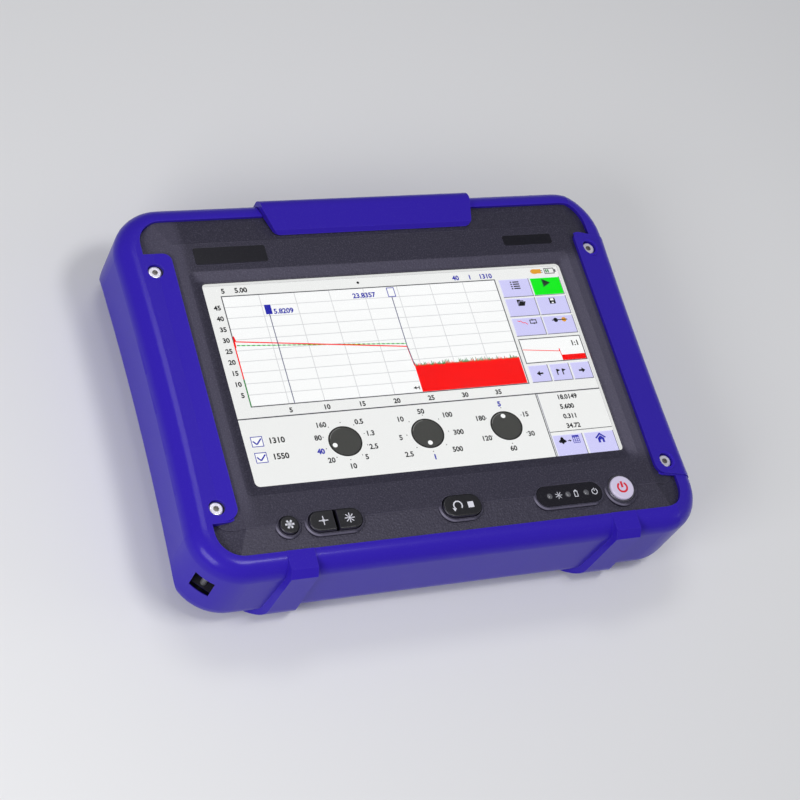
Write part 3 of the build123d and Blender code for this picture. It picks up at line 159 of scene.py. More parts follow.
# %% [markdown]
# ## Shader tools that several finishes share
#
# Moulded plastic, rubber and metal differ in colour, but the small things on them
# are alike: grain from the mould, edges polished by hands, faint scratches, and
# patches where the tone shifts a little. Each of these is one node group with a few
# named inputs. A group is made once and placed in many materials, which keeps the
# materials short and the look of one workshop.


# %% Making and joining shader nodes
def add_node(tree, kind, **settings):
    """One shader node; settings are its own properties, such as operation."""
    made = tree.nodes.new(kind)
    for key, value in settings.items():
        setattr(made, key, value)
    return made


def feed(tree, socket, value):
    """Gives a socket either a plain value or a link from another socket."""
    if isinstance(value, bpy.types.NodeSocket):
        tree.links.new(value, socket)
    else:
        socket.default_value = value


def math_node(tree, operation, first, second=None, third=None, clamp=False):
    """Output of one Math node on up to three values."""
    made = add_node(tree, "ShaderNodeMath", operation=operation)
    made.use_clamp = clamp
    for index, value in enumerate((first, second, third)):
        if value is not None:
            feed(tree, made.inputs[index], value)
    return made.outputs[0]


def noise(tree, vector, scale, detail=3.0, roughness=0.5):
    """Factor output of a Noise Texture."""
    made = add_node(tree, "ShaderNodeTexNoise")
    feed(tree, made.inputs["Vector"], vector)
    feed(tree, made.inputs["Scale"], scale)
    made.inputs["Detail"].default_value = detail
    made.inputs["Roughness"].default_value = roughness
    return made.outputs[0]


def new_group(name, inputs, outputs):
    """Empty node group with named inputs and outputs, and its two end nodes."""
    group = bpy.data.node_groups.new(name, "ShaderNodeTree")
    kinds = {"f": "NodeSocketFloat", "c": "NodeSocketColor"}
    for label, kind, value in inputs:
        socket = group.interface.new_socket(name=label, in_out="INPUT", socket_type=kinds[kind])
        socket.default_value = value
    for label, kind in outputs:
        group.interface.new_socket(name=label, in_out="OUTPUT", socket_type=kinds[kind])
    start = group.nodes.new("NodeGroupInput")
    end = group.nodes.new("NodeGroupOutput")
    return group, start, end


def object_place(tree, stretch=None):
    """Object coordinates, stretched along an axis where a pattern has a direction."""
    place = add_node(tree, "ShaderNodeTexCoord").outputs["Object"]
    if stretch is None:
        return place
    mapping = add_node(tree, "ShaderNodeMapping")
    feed(tree, mapping.inputs["Vector"], place)
    mapping.inputs["Scale"].default_value = stretch
    return mapping.outputs["Vector"]


# %% Group: grain of a spark-eroded mould
grain_group, start, end = new_group(
    "mould_grain", [("Grains per metre", "f", 1500.0), ("Softness", "f", 0.5)],
    [("Height", "f"), ("Speckle", "f")])
place = object_place(grain_group)
pits = add_node(grain_group, "ShaderNodeTexVoronoi")
feed(grain_group, pits.inputs["Vector"], place)
feed(grain_group, pits.inputs["Scale"], start.outputs["Grains per metre"])
fine = math_node(grain_group, "MULTIPLY", start.outputs["Grains per metre"], 1.7)
hills = noise(grain_group, place, fine, 2.0)
mixed = math_node(grain_group, "MULTIPLY_ADD", hills, start.outputs["Softness"],
                  pits.outputs["Distance"])
feed(grain_group, end.inputs["Height"], mixed)
feed(grain_group, end.inputs["Speckle"], hills)

# %% Group: edges rubbed by hands
edge_group, start, end = new_group(
    "rubbed_edges", [("Radius", "f", 0.0006), ("Amount", "f", 1.0)], [("Mask", "f")])
rounded = add_node(edge_group, "ShaderNodeBevel")
rounded.samples = 4
feed(edge_group, rounded.inputs["Radius"], start.outputs["Radius"])
straight = add_node(edge_group, "ShaderNodeNewGeometry").outputs["Normal"]
turned = add_node(edge_group, "ShaderNodeVectorMath", operation="DOT_PRODUCT")
feed(edge_group, turned.inputs[0], rounded.outputs[0])
feed(edge_group, turned.inputs[1], straight)
away = math_node(edge_group, "SUBTRACT", 1.0, turned.outputs["Value"])
sharp = math_node(edge_group, "MULTIPLY", away, 6.0, clamp=True)
broken = noise(edge_group, object_place(edge_group), 220.0, 4.0)
kept = math_node(edge_group, "MULTIPLY", sharp, broken)
feed(edge_group, end.inputs["Mask"],
     math_node(edge_group, "MULTIPLY", kept, start.outputs["Amount"], clamp=True))

# %% Group: patches where the tone shifts
tone_group, start, end = new_group(
    "tone_patches", [("Color", "c", (0.5, 0.5, 0.5, 1)), ("Patches per metre", "f", 18.0),
                     ("Spread", "f", 0.12)], [("Color", "c"), ("Mask", "f")])
cloud = noise(tone_group, object_place(tone_group), start.outputs["Patches per metre"], 5.0, 0.6)
centred = math_node(tone_group, "SUBTRACT", cloud, 0.5)
shift = math_node(tone_group, "MULTIPLY_ADD", centred, start.outputs["Spread"], 1.0)
scaled = add_node(tone_group, "ShaderNodeVectorMath", operation="SCALE")
feed(tone_group, scaled.inputs[0], start.outputs["Color"])
feed(tone_group, scaled.inputs["Scale"], shift)
feed(tone_group, end.inputs["Color"], scaled.outputs[0])
feed(tone_group, end.inputs["Mask"], cloud)

# %% Group: faint scratches that run in many directions
scratch_group, start, end = new_group(
    "fine_scratches", [("Amount", "f", 0.5)], [("Mask", "f")])
lines = None
for stretch in ((900.0, 40.0, 60.0), (50.0, 800.0, 60.0), (420.0, 420.0, 25.0)):
    streak = noise(scratch_group, object_place(scratch_group, stretch), 1.0, 2.0)
    thin = math_node(scratch_group, "SUBTRACT", streak, 0.66)
    thin = math_node(scratch_group, "MULTIPLY", thin, 9.0, clamp=True)
    lines = thin if lines is None else math_node(scratch_group, "MAXIMUM", lines, thin)
where = noise(scratch_group, object_place(scratch_group), 30.0, 3.0)
lines = math_node(scratch_group, "MULTIPLY", lines, where)
feed(scratch_group, end.inputs["Mask"],
     math_node(scratch_group, "MULTIPLY", lines, start.outputs["Amount"], clamp=True))

# %% Group: dust that settles on what faces up
dust_group, start, end = new_group("settled_dust", [("Amount", "f", 0.1)], [("Mask", "f")])
upward = add_node(dust_group, "ShaderNodeSeparateXYZ")
feed(dust_group, upward.inputs[0], add_node(dust_group, "ShaderNodeNewGeometry").outputs["Normal"])
specks = noise(dust_group, object_place(dust_group), 2600.0, 2.0)
specks = math_node(dust_group, "SUBTRACT", specks, 0.58)
specks = math_node(dust_group, "MULTIPLY", specks, 8.0, clamp=True)
lying = math_node(dust_group, "MULTIPLY", upward.outputs["Z"], specks, clamp=True)
feed(dust_group, end.inputs["Mask"],
     math_node(dust_group, "MULTIPLY", lying, start.outputs["Amount"], clamp=True))
print("groups", [g.name for g in bpy.data.node_groups])


# %% [markdown]
# ## Masks that know the tester's shape
#
# A few finishes change from place to place, and each of these changes is painted light.
# Inside the four corner slots the rubber is painted near black: painted shade. The front
# case is painted paler on the borders at both sides and on the bevel above the screen: a
# painted reflection of the lamps. Edges round the keys that face the lamp at the left get
# a painted highlight, and the middle of each strap screw head gets painted shade for its
# socket.
# Such masks are plain arithmetic on Object coordinates and on the surface's normal,
# since the solids are never moved.


# %% Ramps over a distance
def ramp(tree, value, low, high):
    """Smooth step: 0 below low, 1 above high, both in millimetres."""
    made = add_node(tree, "ShaderNodeMapRange", interpolation_type="SMOOTHSTEP")
    feed(tree, made.inputs["Value"], value)
    made.inputs["From Min"].default_value = low * MM
    made.inputs["From Max"].default_value = high * MM
    return made.outputs["Result"]


def place_parts(tree):
    """The three Object coordinates as separate values."""
    parts = add_node(tree, "ShaderNodeSeparateXYZ")
    feed(tree, parts.inputs[0], object_place(tree))
    return parts.outputs


def inverse(tree, mask):
    """One minus a mask."""
    return math_node(tree, "SUBTRACT", 1.0, mask)


def from_four_spots(tree, out_x, out_y, middle_y):
    """Distances in x, in y and straight to the nearest of four mirrored spots; and the height."""
    at_x, at_y, at_z = place_parts(tree)
    across = math_node(tree, "SUBTRACT", math_node(tree, "ABSOLUTE", at_x), out_x * MM)
    shifted = math_node(tree, "SUBTRACT", at_y, middle_y * MM)
    along = math_node(tree, "SUBTRACT", math_node(tree, "ABSOLUTE", shifted), out_y * MM)
    squares = math_node(tree, "MULTIPLY_ADD", across, across,
                        math_node(tree, "MULTIPLY", along, along))
    return across, along, math_node(tree, "SQRT", squares), at_z


def all_of(tree, *masks):
    """Product of several masks."""
    product = masks[0]
    for mask in masks[1:]:
        product = math_node(tree, "MULTIPLY", product, mask)
    return product


# %% Group: painted shade inside the corner slots
slot_shade_group, start, end = new_group("painted_slot_shade", [], [("Mask", "f")])
corner_x, corner_y, middle_y = 86.0, 58.0, 1.0
slot_start, slot_half_width, slot_low, slot_high = 19.5, 4.12, 19.18, 29.22
across, along, distance, at_z = from_four_spots(slot_shade_group, corner_x, corner_y, middle_y)
sideways = math_node(slot_shade_group, "SUBTRACT", across, along)
sideways = math_node(slot_shade_group, "DIVIDE", sideways, math.sqrt(2))
sideways = math_node(slot_shade_group, "ABSOLUTE", sideways)
outside = math_node(slot_shade_group, "MAXIMUM",
                    ramp(slot_shade_group, distance, slot_start, slot_start + 0.4),
                    ramp(slot_shade_group, sideways, slot_half_width, slot_half_width + 0.08))
above = ramp(slot_shade_group, at_z, slot_high, slot_high + 0.08)
below = inverse(slot_shade_group, ramp(slot_shade_group, at_z, slot_low - 0.08, slot_low))
outside = math_node(slot_shade_group, "MAXIMUM", outside,
                    math_node(slot_shade_group, "MAXIMUM", above, below))
feed(slot_shade_group, end.inputs["Mask"], inverse(slot_shade_group, outside))

# %% Group: painted glare on the side borders and the bevel above the screen
border_glare_group, start, end = new_group("painted_glare_borders", [], [("Mask", "f")])
at_x, at_y, at_z = place_parts(border_glare_group)
leftward = math_node(border_glare_group, "MULTIPLY", at_x, -1.0)
downward = math_node(border_glare_group, "MULTIPLY", at_y, -1.0)
away = math_node(border_glare_group, "ABSOLUTE", at_y)
middle = inverse(border_glare_group, ramp(border_glare_group, away, 42.0, 50.0))
fading = inverse(border_glare_group, ramp(border_glare_group, downward, 42.0, 66.0))
right_side = all_of(border_glare_group, ramp(border_glare_group, at_x, 76.5, 78.5), middle)
left_side = all_of(border_glare_group, ramp(border_glare_group, leftward, 79.0, 83.0), fading)
left_side = math_node(border_glare_group, "MULTIPLY", left_side, 0.75)
sides = math_node(border_glare_group, "MAXIMUM", right_side, left_side)
between = math_node(border_glare_group, "ABSOLUTE", at_x)
between = inverse(border_glare_group, ramp(border_glare_group, between, 78.0, 81.0))
above = all_of(border_glare_group, ramp(border_glare_group, at_y, 43.0, 44.0),
               ramp(border_glare_group, downward, -47.8, -47.2), between)
above = math_node(border_glare_group, "MULTIPLY", above, 0.6)
upper = ramp(border_glare_group, at_z, 30.0, 34.0)
either = math_node(border_glare_group, "MAXIMUM", sides, above)
feed(border_glare_group, end.inputs["Mask"], all_of(border_glare_group, either, upper))

# %% Group: painted highlight on small edges that face the lamp at the left
lamp_edge_highlight_group, start, end = new_group("painted_highlight_on_lamp_edges", [], [("Mask", "f")])
facing = add_node(lamp_edge_highlight_group, "ShaderNodeVectorMath", operation="DOT_PRODUCT")
straight = add_node(lamp_edge_highlight_group, "ShaderNodeNewGeometry").outputs["Normal"]
feed(lamp_edge_highlight_group, facing.inputs[0], straight)
facing.inputs[1].default_value = (-0.707, -0.707, 0.0)
turned = math_node(lamp_edge_highlight_group, "SUBTRACT", facing.outputs["Value"], 0.35)
turned = math_node(lamp_edge_highlight_group, "MULTIPLY", turned, 4.0, clamp=True)
spot = place_parts(lamp_edge_highlight_group)
downward = math_node(lamp_edge_highlight_group, "MULTIPLY", spot["Y"], -1.0)
near_keys = ramp(lamp_edge_highlight_group, downward, 50.0, 51.0)
raised = ramp(lamp_edge_highlight_group, spot["Z"], 41.5, 41.7)
feed(lamp_edge_highlight_group, end.inputs["Mask"], all_of(lamp_edge_highlight_group, turned, near_keys, raised))

# %% Group: painted shade in the sockets of the strap screws
socket_shade_group, start, end = new_group("painted_socket_shade", [], [("Mask", "f")])
screws_low, screws_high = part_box("strap_screws")
head_radius = 2.7
out_x = screws_high.x / MM - head_radius
mid_y = (screws_low.y + screws_high.y) / 2 / MM
out_y = (screws_high.y - screws_low.y) / 2 / MM - head_radius
distance = from_four_spots(socket_shade_group, out_x, out_y, mid_y)[2]
socket_core, socket_rim = 0.9, 1.35
beyond = ramp(socket_shade_group, distance, socket_core, socket_rim)
feed(socket_shade_group, end.inputs["Mask"], inverse(socket_shade_group, beyond))
print("masks", [g.name for g in (slot_shade_group, border_glare_group, lamp_edge_highlight_group, socket_shade_group)])

# %% [markdown]
# ## From groups to finishes
#
# A finish starts as a Principled shader. The function below places the shared groups
# round it: tone patches tint the colour, edge wear and dust lighten it, and grain
# drives both a little roughness and a Bump node. Metals get their own function,
# because turned and rolled metal carries fine lines in place of grain.


# %% Finish for moulded plastic and rubber
dust_tone = (0.55, 0.55, 0.56, 1)
bare_edge = (0.8, 0.8, 0.82, 1)


def use_group(tree, group, **values):
    """Places a node group and sets its inputs; spaces in names are written as _."""
    made = add_node(tree, "ShaderNodeGroup")
    made.node_tree = group
    for key, value in values.items():
        feed(tree, made.inputs[key.replace("_", " ")], value)
    return made


def blend_colours(tree, share, low, high):
    """Mix of two colours by a mask."""
    mix = add_node(tree, "ShaderNodeMix", data_type="RGBA")
    feed(tree, mix.inputs[0], share)
    feed(tree, mix.inputs[6], low)
    feed(tree, mix.inputs[7], high)
    return mix.outputs[2]


def blank_finish(name):
    """New material with only its Principled shader."""
    made = bpy.data.materials.new(name)
    made.use_nodes = True
    return made, made.node_tree, made.node_tree.nodes["Principled BSDF"]


def moulded(name, colour, worn, roughness, grain=1500.0, depth=0.05, spread=0.15, wear=0.4,
            edge=0.0006, dust=0.05, scratches=0.1, painted_glints=0.0, zones=(), **sockets):
    """Moulded plastic or rubber: grain, tone patches, rubbed edges, scratches and dust.

    Each zone is a pair: a mask group and the colour painted inside it; the zones carry painted
    shade, painted glare and painted highlights.
    """
    made, tree, face = blank_finish(name)
    for mask, inside in zones:
        colour = blend_colours(tree, use_group(tree, mask).outputs["Mask"], colour, inside)
    tone = use_group(tree, tone_group, Color=colour, Spread=spread)
    edges = use_group(tree, edge_group, Amount=wear, Radius=edge)
    lines = use_group(tree, scratch_group, Amount=scratches)
    fluff = use_group(tree, dust_group, Amount=dust)
    rubbed = math_node(tree, "MAXIMUM", edges.outputs["Mask"], lines.outputs["Mask"])
    skin = use_group(tree, grain_group, Grains_per_metre=grain)
    # Painted glints: the brightest grain speckles take the paler worn colour.
    glint = math_node(tree, "SUBTRACT", skin.outputs["Speckle"], 0.5)
    glint = math_node(tree, "MULTIPLY", glint, 6.0 * painted_glints, clamp=True)
    paint = blend_colours(tree, glint, tone.outputs["Color"], worn)
    paint = blend_colours(tree, rubbed, paint, worn)
    paint = blend_colours(tree, fluff.outputs["Mask"], paint, dust_tone)
    feed(tree, face.inputs["Base Color"], paint)
    rough = math_node(tree, "MULTIPLY_ADD", skin.outputs["Speckle"], 0.16, roughness - 0.08)
    rough = math_node(tree, "MULTIPLY_ADD", rubbed, -0.12, rough)
    feed(tree, face.inputs["Roughness"], rough)
    bump = add_node(tree, "ShaderNodeBump")
    bump.inputs["Strength"].default_value = 0.6
    bump.inputs["Distance"].default_value = depth * MM
    feed(tree, bump.inputs["Height"], skin.outputs["Height"])
    feed(tree, face.inputs["Normal"], bump.outputs[0])
    for key, value in sockets.items():
        face.inputs[key.replace("_", " ")].default_value = value
    return made


# %% Finish for turned, rolled and plated metal
def metal(name, colour, roughness=0.28, lines=(1600.0, 1600.0, 60.0), wear=0.3, metallic=1.0,
          zones=()):
    """Metal with fine tool lines: noise stretched along the working direction."""
    made, tree, face = blank_finish(name)
    for mask, inside in zones:
        colour = blend_colours(tree, use_group(tree, mask).outputs["Mask"], colour, inside)
    tone = use_group(tree, tone_group, Color=colour, Spread=0.2)
    edges = use_group(tree, edge_group, Amount=wear)
    bright = blend_colours(tree, edges.outputs["Mask"], tone.outputs["Color"], bare_edge)
    feed(tree, face.inputs["Base Color"], bright)
    tool = noise(tree, object_place(tree, lines), 1.0, 3.0)
    rough = math_node(tree, "MULTIPLY_ADD", tool, 0.22, roughness - 0.1)
    feed(tree, face.inputs["Roughness"], rough)
    bump = add_node(tree, "ShaderNodeBump")
    bump.inputs["Strength"].default_value = 0.25
    bump.inputs["Distance"].default_value = 0.02 * MM
    feed(tree, bump.inputs["Height"], tool)
    feed(tree, face.inputs["Normal"], bump.outputs[0])
    face.inputs["Metallic"].default_value = metallic
    return made


def dress(finish, *names):
    """Gives a finish to CAD nodes, in the material slots that they already have."""
    for name in names:
        solid = nodes[name]
        if not solid.material_slots:
            solid.data.materials.append(finish)
        for place in solid.material_slots:
            place.material = finish


# %% [markdown]
# ## Violet rubber
#
# The bumper is soft rubber cast in one piece. In the picture it is deep violet where
# it faces the lens and paler where it turns away and mirrors the table. A weak, broad
# reflection keeps that veil thin, and a thin clear coat adds the crisp crescents on
# the rolled lip. The grain is finer and softer than on the plastic. The port cover
# is cast from the same mix.

# %% Bumper and port cover
soft_touch = dict(
    grain=2600.0, wear=0.45, edge=0.0005, dust=0.02, scratches=0.06, Coat_Weight=0.18,
    Coat_Roughness=0.16, Specular_IOR_Level=0.1, Specular_Tint=(0.8, 0.65, 1.0, 1))
# The slot zone paints the inside of the four corner slots near black: painted shade.
rubber_violet = moulded(
    "rubber_violet", tint(50, 31, 172), tint(92, 76, 206), 0.32, depth=0.012, spread=0.08,
    zones=((slot_shade_group, (0.003, 0.003, 0.004, 1)),), **soft_touch)
cover_violet = moulded(
    "cover_violet", tint(50, 31, 168), tint(92, 76, 206), 0.32, depth=0.01, spread=0.07,
    **soft_touch)
dress(rubber_violet, "bumper")
dress(cover_violet, "port_cover")

# %% [markdown]
# ## Grey plastic of the case
#
# The front case is dark grey plastic from a mould with a coarse sparked grain, with
# pale speckles of that grain painted in as glints.
# The grain is a bump, since modelled pits would take millions of faces. The rear
# case and the battery door use the same grey at other grains; the stand is grey metal.

# %% Case halves, battery door and stand
# The zones paint the front case paler on its side borders and the bevel above the screen, a
# painted reflection of the lamps, and paler still on small edges round the keys that face the
# lamp, a painted highlight.
front_grey = moulded(
    "front_grey", tint(42, 40, 54), tint(110, 107, 126), 0.44, grain=1150.0, depth=0.1,
    spread=0.14, wear=0.6, edge=0.0004, dust=0.04, scratches=0.1,
    painted_glints=0.2, zones=((border_glare_group, tint(70, 67, 84)), (lamp_edge_highlight_group, tint(112, 108, 126))),
    Specular_IOR_Level=0.4, Specular_Tint=(0.86, 0.82, 1.0, 1))
rear_grey = moulded(
    "rear_grey", tint(40, 38, 50), tint(84, 82, 96), 0.55, grain=900.0, depth=0.12,
    spread=0.16, wear=0.3, dust=0.06, scratches=0.2)
door_grey = moulded(
    "door_grey", tint(42, 40, 52), tint(86, 84, 98), 0.52, grain=1000.0, depth=0.1,
    spread=0.14, wear=0.35, dust=0.05, scratches=0.25)
stand_dark = metal("stand_dark", tint(66, 66, 72), 0.42, (900.0, 60.0, 900.0), 0.35, 0.7)
dress(front_grey, "front_housing")
dress(rear_grey, "rear_housing")
dress(door_grey, "battery_door")
dress(stand_dark, "kickstand")

# %% [markdown]
# ## Keys, plates and rubber pads
#
# The key caps are satin black, with a fine grain and edges that fingers have
# polished; their edges that face the lamp at the left also get a painted highlight.
# The power key is nearly white with a cold tint. The two plates above the screen are
# smooth and almost black, with hardly any grain.

# %% Key caps and plates
# The zone paints the key edges that face the lamp at the left paler: a painted highlight.
key_black = moulded(
    "key_black", tint(10, 9, 17), tint(96, 92, 112), 0.34, grain=2800.0, depth=0.012,
    spread=0.1, wear=0.7, edge=0.0004, dust=0.03, scratches=0.06,
    zones=((lamp_edge_highlight_group, tint(44, 41, 56)),))
power_pale = moulded(
    "power_pale", tint(214, 206, 232), tint(238, 234, 250), 0.32, grain=2800.0, depth=0.01,
    spread=0.04, wear=0.2, dust=0.0, scratches=0.05)
plate_dark = moulded(
    "plate_dark", tint(12, 10, 22), tint(96, 92, 112), 0.34, grain=3000.0, depth=0.003,
    spread=0.15, wear=0.3, dust=0.02, scratches=0.08, Specular_IOR_Level=0.35)
window_dark = moulded(
    "window_dark", tint(18, 16, 26), tint(60, 58, 74), 0.28, grain=3000.0, depth=0.004,
    spread=0.1, wear=0.3, dust=0.03, scratches=0.08, Specular_IOR_Level=0.4)
dress(key_black, "round_button", "brightness_down_button", "brightness_up_button",
      "start_stop_button")
dress(power_pale, "power_button")
dress(plate_dark, "label_plate_left", "label_plate_right")
dress(window_dark, "lamp_window")

# %% Rubber pads, seals and caps
rubber_black = moulded(
    "rubber_black", tint(30, 30, 33), tint(70, 70, 74), 0.7, grain=1800.0, depth=0.04,
    spread=0.2, wear=0.2, dust=0.2, scratches=0.1)
seal_black = moulded(
    "seal_black", tint(24, 24, 26), tint(50, 50, 54), 0.6, grain=3000.0, depth=0.02,
    spread=0.1, wear=0.1, dust=0.0)
dress(rubber_black, "back_pads", "kickstand_foot", "dust_caps")
dress(seal_black, "housing_gasket", "battery_door_seal")

# %% [markdown]
# ## Metal
#
# The strap screws are bright turned steel, the ring round the power key is satin,
# and the small screws are zinc plated. Sheet parts carry lines from the rolling
# mill. The direction of the lines is the direction in which the noise is stretched.

# %% Screws, pins, ring and sheet metal
# The zone paints the middle of each strap screw head darker: painted shade for its socket.
screw_bright = metal("screw_bright", tint(246, 242, 252), 0.3, (900.0, 900.0, 900.0), 0.3, 0.6,
                     zones=((socket_shade_group, tint(140, 134, 128)),))
zinc = metal("zinc", tint(150, 150, 158), 0.34, (700.0, 700.0, 1200.0), 0.3)
bar_steel = metal("bar_steel", tint(160, 160, 166), 0.36, (900.0, 900.0, 60.0), 0.3, 0.6)
ring_satin = metal("ring_satin", tint(96, 94, 108), 0.34, (1500.0, 1500.0, 200.0), 0.5)
sheet_steel = metal("sheet_steel", tint(176, 177, 180), 0.36, (60.0, 1400.0, 1400.0), 0.25)
tin_plate = metal("tin_plate", tint(190, 190, 192), 0.25, (80.0, 900.0, 900.0), 0.3)
nickel = metal("nickel", tint(205, 200, 190), 0.2, (60.0, 900.0, 900.0), 0.3)
gilt = metal("gilt", tint(214, 176, 92), 0.25, (900.0, 60.0, 900.0), 0.2)
blasted = metal("blasted_alloy", tint(168, 170, 174), 0.5, (1300.0, 1300.0, 1300.0), 0.3)
dress(screw_bright, "strap_screws")
dress(zinc, "case_screws", "battery_door_screws", "display_screws", "board_screws",
      "key_board_screws")
dress(bar_steel, "strap_bars", "cover_hinge_pin", "kickstand_pins")
dress(ring_satin, "power_ring")
dress(sheet_steel, "display_module", "display_frame")
dress(tin_plate, "shield_can", "usb_a_socket", "usb_c_socket")
dress(nickel, "optical_adapters", "adapter_nuts")
dress(gilt, "battery_contacts")
dress(blasted, "optical_module", "optical_lid")
print("metals done")

# %% [markdown]
# ## Circuit boards and the other inner pieces
#
# Nobody sees these until the case is opened, yet they get their own finish. Tracks
# on a board run at right angles, so two Brick Textures at different sizes give
# plausible copper under the green mask. The other pieces are plain mouldings.


# %% Circuit board finish
def board_finish(name):
    """Green mask with paler tracks: mortar of brick patterns gives straight copper lines."""
    made, tree, face = blank_finish(name)
    place = object_place(tree)
    tracks = None
    for width, height, seed in ((0.012, 0.0013, 0.5), (0.0045, 0.009, 0.2)):
        brick = add_node(tree, "ShaderNodeTexBrick")
        feed(tree, brick.inputs["Vector"], place)
        brick.inputs["Scale"].default_value = 1.0
        brick.inputs["Mortar Size"].default_value = 0.00018
        brick.inputs["Brick Width"].default_value = width
        brick.inputs["Row Height"].default_value = height
        brick.offset = seed
        tracks = brick.outputs["Fac"] if tracks is None else math_node(
            tree, "MAXIMUM", tracks, brick.outputs["Fac"])
    tone = use_group(tree, tone_group, Color=tint(18, 84, 52), Spread=0.2)
    paint = blend_colours(tree, tracks, tone.outputs["Color"], tint(44, 128, 76))
    feed(tree, face.inputs["Base Color"], paint)
    feed(tree, face.inputs["Roughness"], math_node(tree, "MULTIPLY_ADD", tracks, -0.1, 0.4))
    bump = add_node(tree, "ShaderNodeBump")
    bump.inputs["Strength"].default_value = 0.4
    bump.inputs["Distance"].default_value = 0.03 * MM
    feed(tree, bump.inputs["Height"], tracks)
    feed(tree, face.inputs["Normal"], bump.outputs[0])
    return made


dress(board_finish("board_green"), "main_board", "key_board", "port_board")

# %% Plastics inside
# Name, colour, worn colour, roughness, grains per metre, their depth in mm, wear, solids
inner_plastics = (
    ("chip_black", (30, 30, 33), (60, 60, 64), 0.55, 3000.0, 0.01, 0.1,
     ("board_chips", "power_socket")),
    ("switch_grey", (64, 64, 68), (100, 100, 104), 0.4, 2500.0, 0.01, 0.2, ("key_switches",)),
    ("sleeve_blue", (44, 62, 112), (90, 104, 150), 0.28, 400.0, 0.08, 0.2, ("battery_pack",)),
    ("flex_amber", (176, 112, 36), (214, 160, 90), 0.3, 3000.0, 0.005, 0.1, ("display_flex",)),
    ("tray_pale", (206, 208, 212), (228, 228, 230), 0.45, 1800.0, 0.02, 0.1, ("fibre_tray",)),
    ("fibre_yellow", (236, 190, 34), (246, 216, 110), 0.35, 900.0, 0.02, 0.05,
     ("fibre_coil", "fibre_pigtails")),
    ("lamp_body", (222, 220, 200), (240, 238, 226), 0.35, 2500.0, 0.01, 0.1, ("status_lamps",)),
    ("cone_black", (34, 34, 36), (64, 64, 68), 0.65, 1400.0, 0.06, 0.1, ("speaker",)),
)
for name, colour, worn, roughness, grain, depth, wear, solids in inner_plastics:
    finish = moulded(name, tint(*colour), tint(*worn), roughness, grain=grain, depth=depth,
                     wear=wear, dust=0.0)
    dress(finish, *solids)
rod_clear = moulded("rod_clear", tint(210, 216, 222), tint(236, 238, 240), 0.12, grain=3000.0,
                    depth=0.004, wear=0.1, dust=0.0, Transmission_Weight=0.6)
dress(rod_clear, "lamp_guides")

# %% [markdown]
# ## Touch glass
#
# The glass is clear, so its only marks are a trace of finger grease, drawn as a
# roughness that drifts over the surface. Its coating keeps reflections low, which is
# a low index of refraction here. The picture below it glows by itself and needs no
# lamp to reach it through the glass.

# %% Glass
glass, tree, face = blank_finish("touch_glass_clear")
face.inputs["Transmission Weight"].default_value = 1.0
face.inputs["IOR"].default_value = 1.2
face.inputs["Specular IOR Level"].default_value = 0.12
smears = noise(tree, object_place(tree), 45.0, 4.0, 0.6)
smears = math_node(tree, "SUBTRACT", smears, 0.5)
feed(tree, face.inputs["Roughness"], math_node(tree, "MULTIPLY", smears, 0.03, clamp=True))
clean = use_group(tree, tone_group, Color=(0.97, 0.98, 0.98, 1), Spread=0.03)
feed(tree, face.inputs["Base Color"], clean.outputs["Color"])
dress(glass, "touch_glass")

# %% [markdown]
# ## Drawing with flat shapes
#
# The screen shows a measuring program: a chart, soft buttons, three round dials and
# a few icons. Everything on it is flat, so it is drawn as thin sheets of polygons,
# each colour at its own small height, like cut paper. A shape is an array of points:
# rectangles from their corners, discs from a circle, lines from a middle path that
# is widened to both sides. Every colour becomes one mesh.


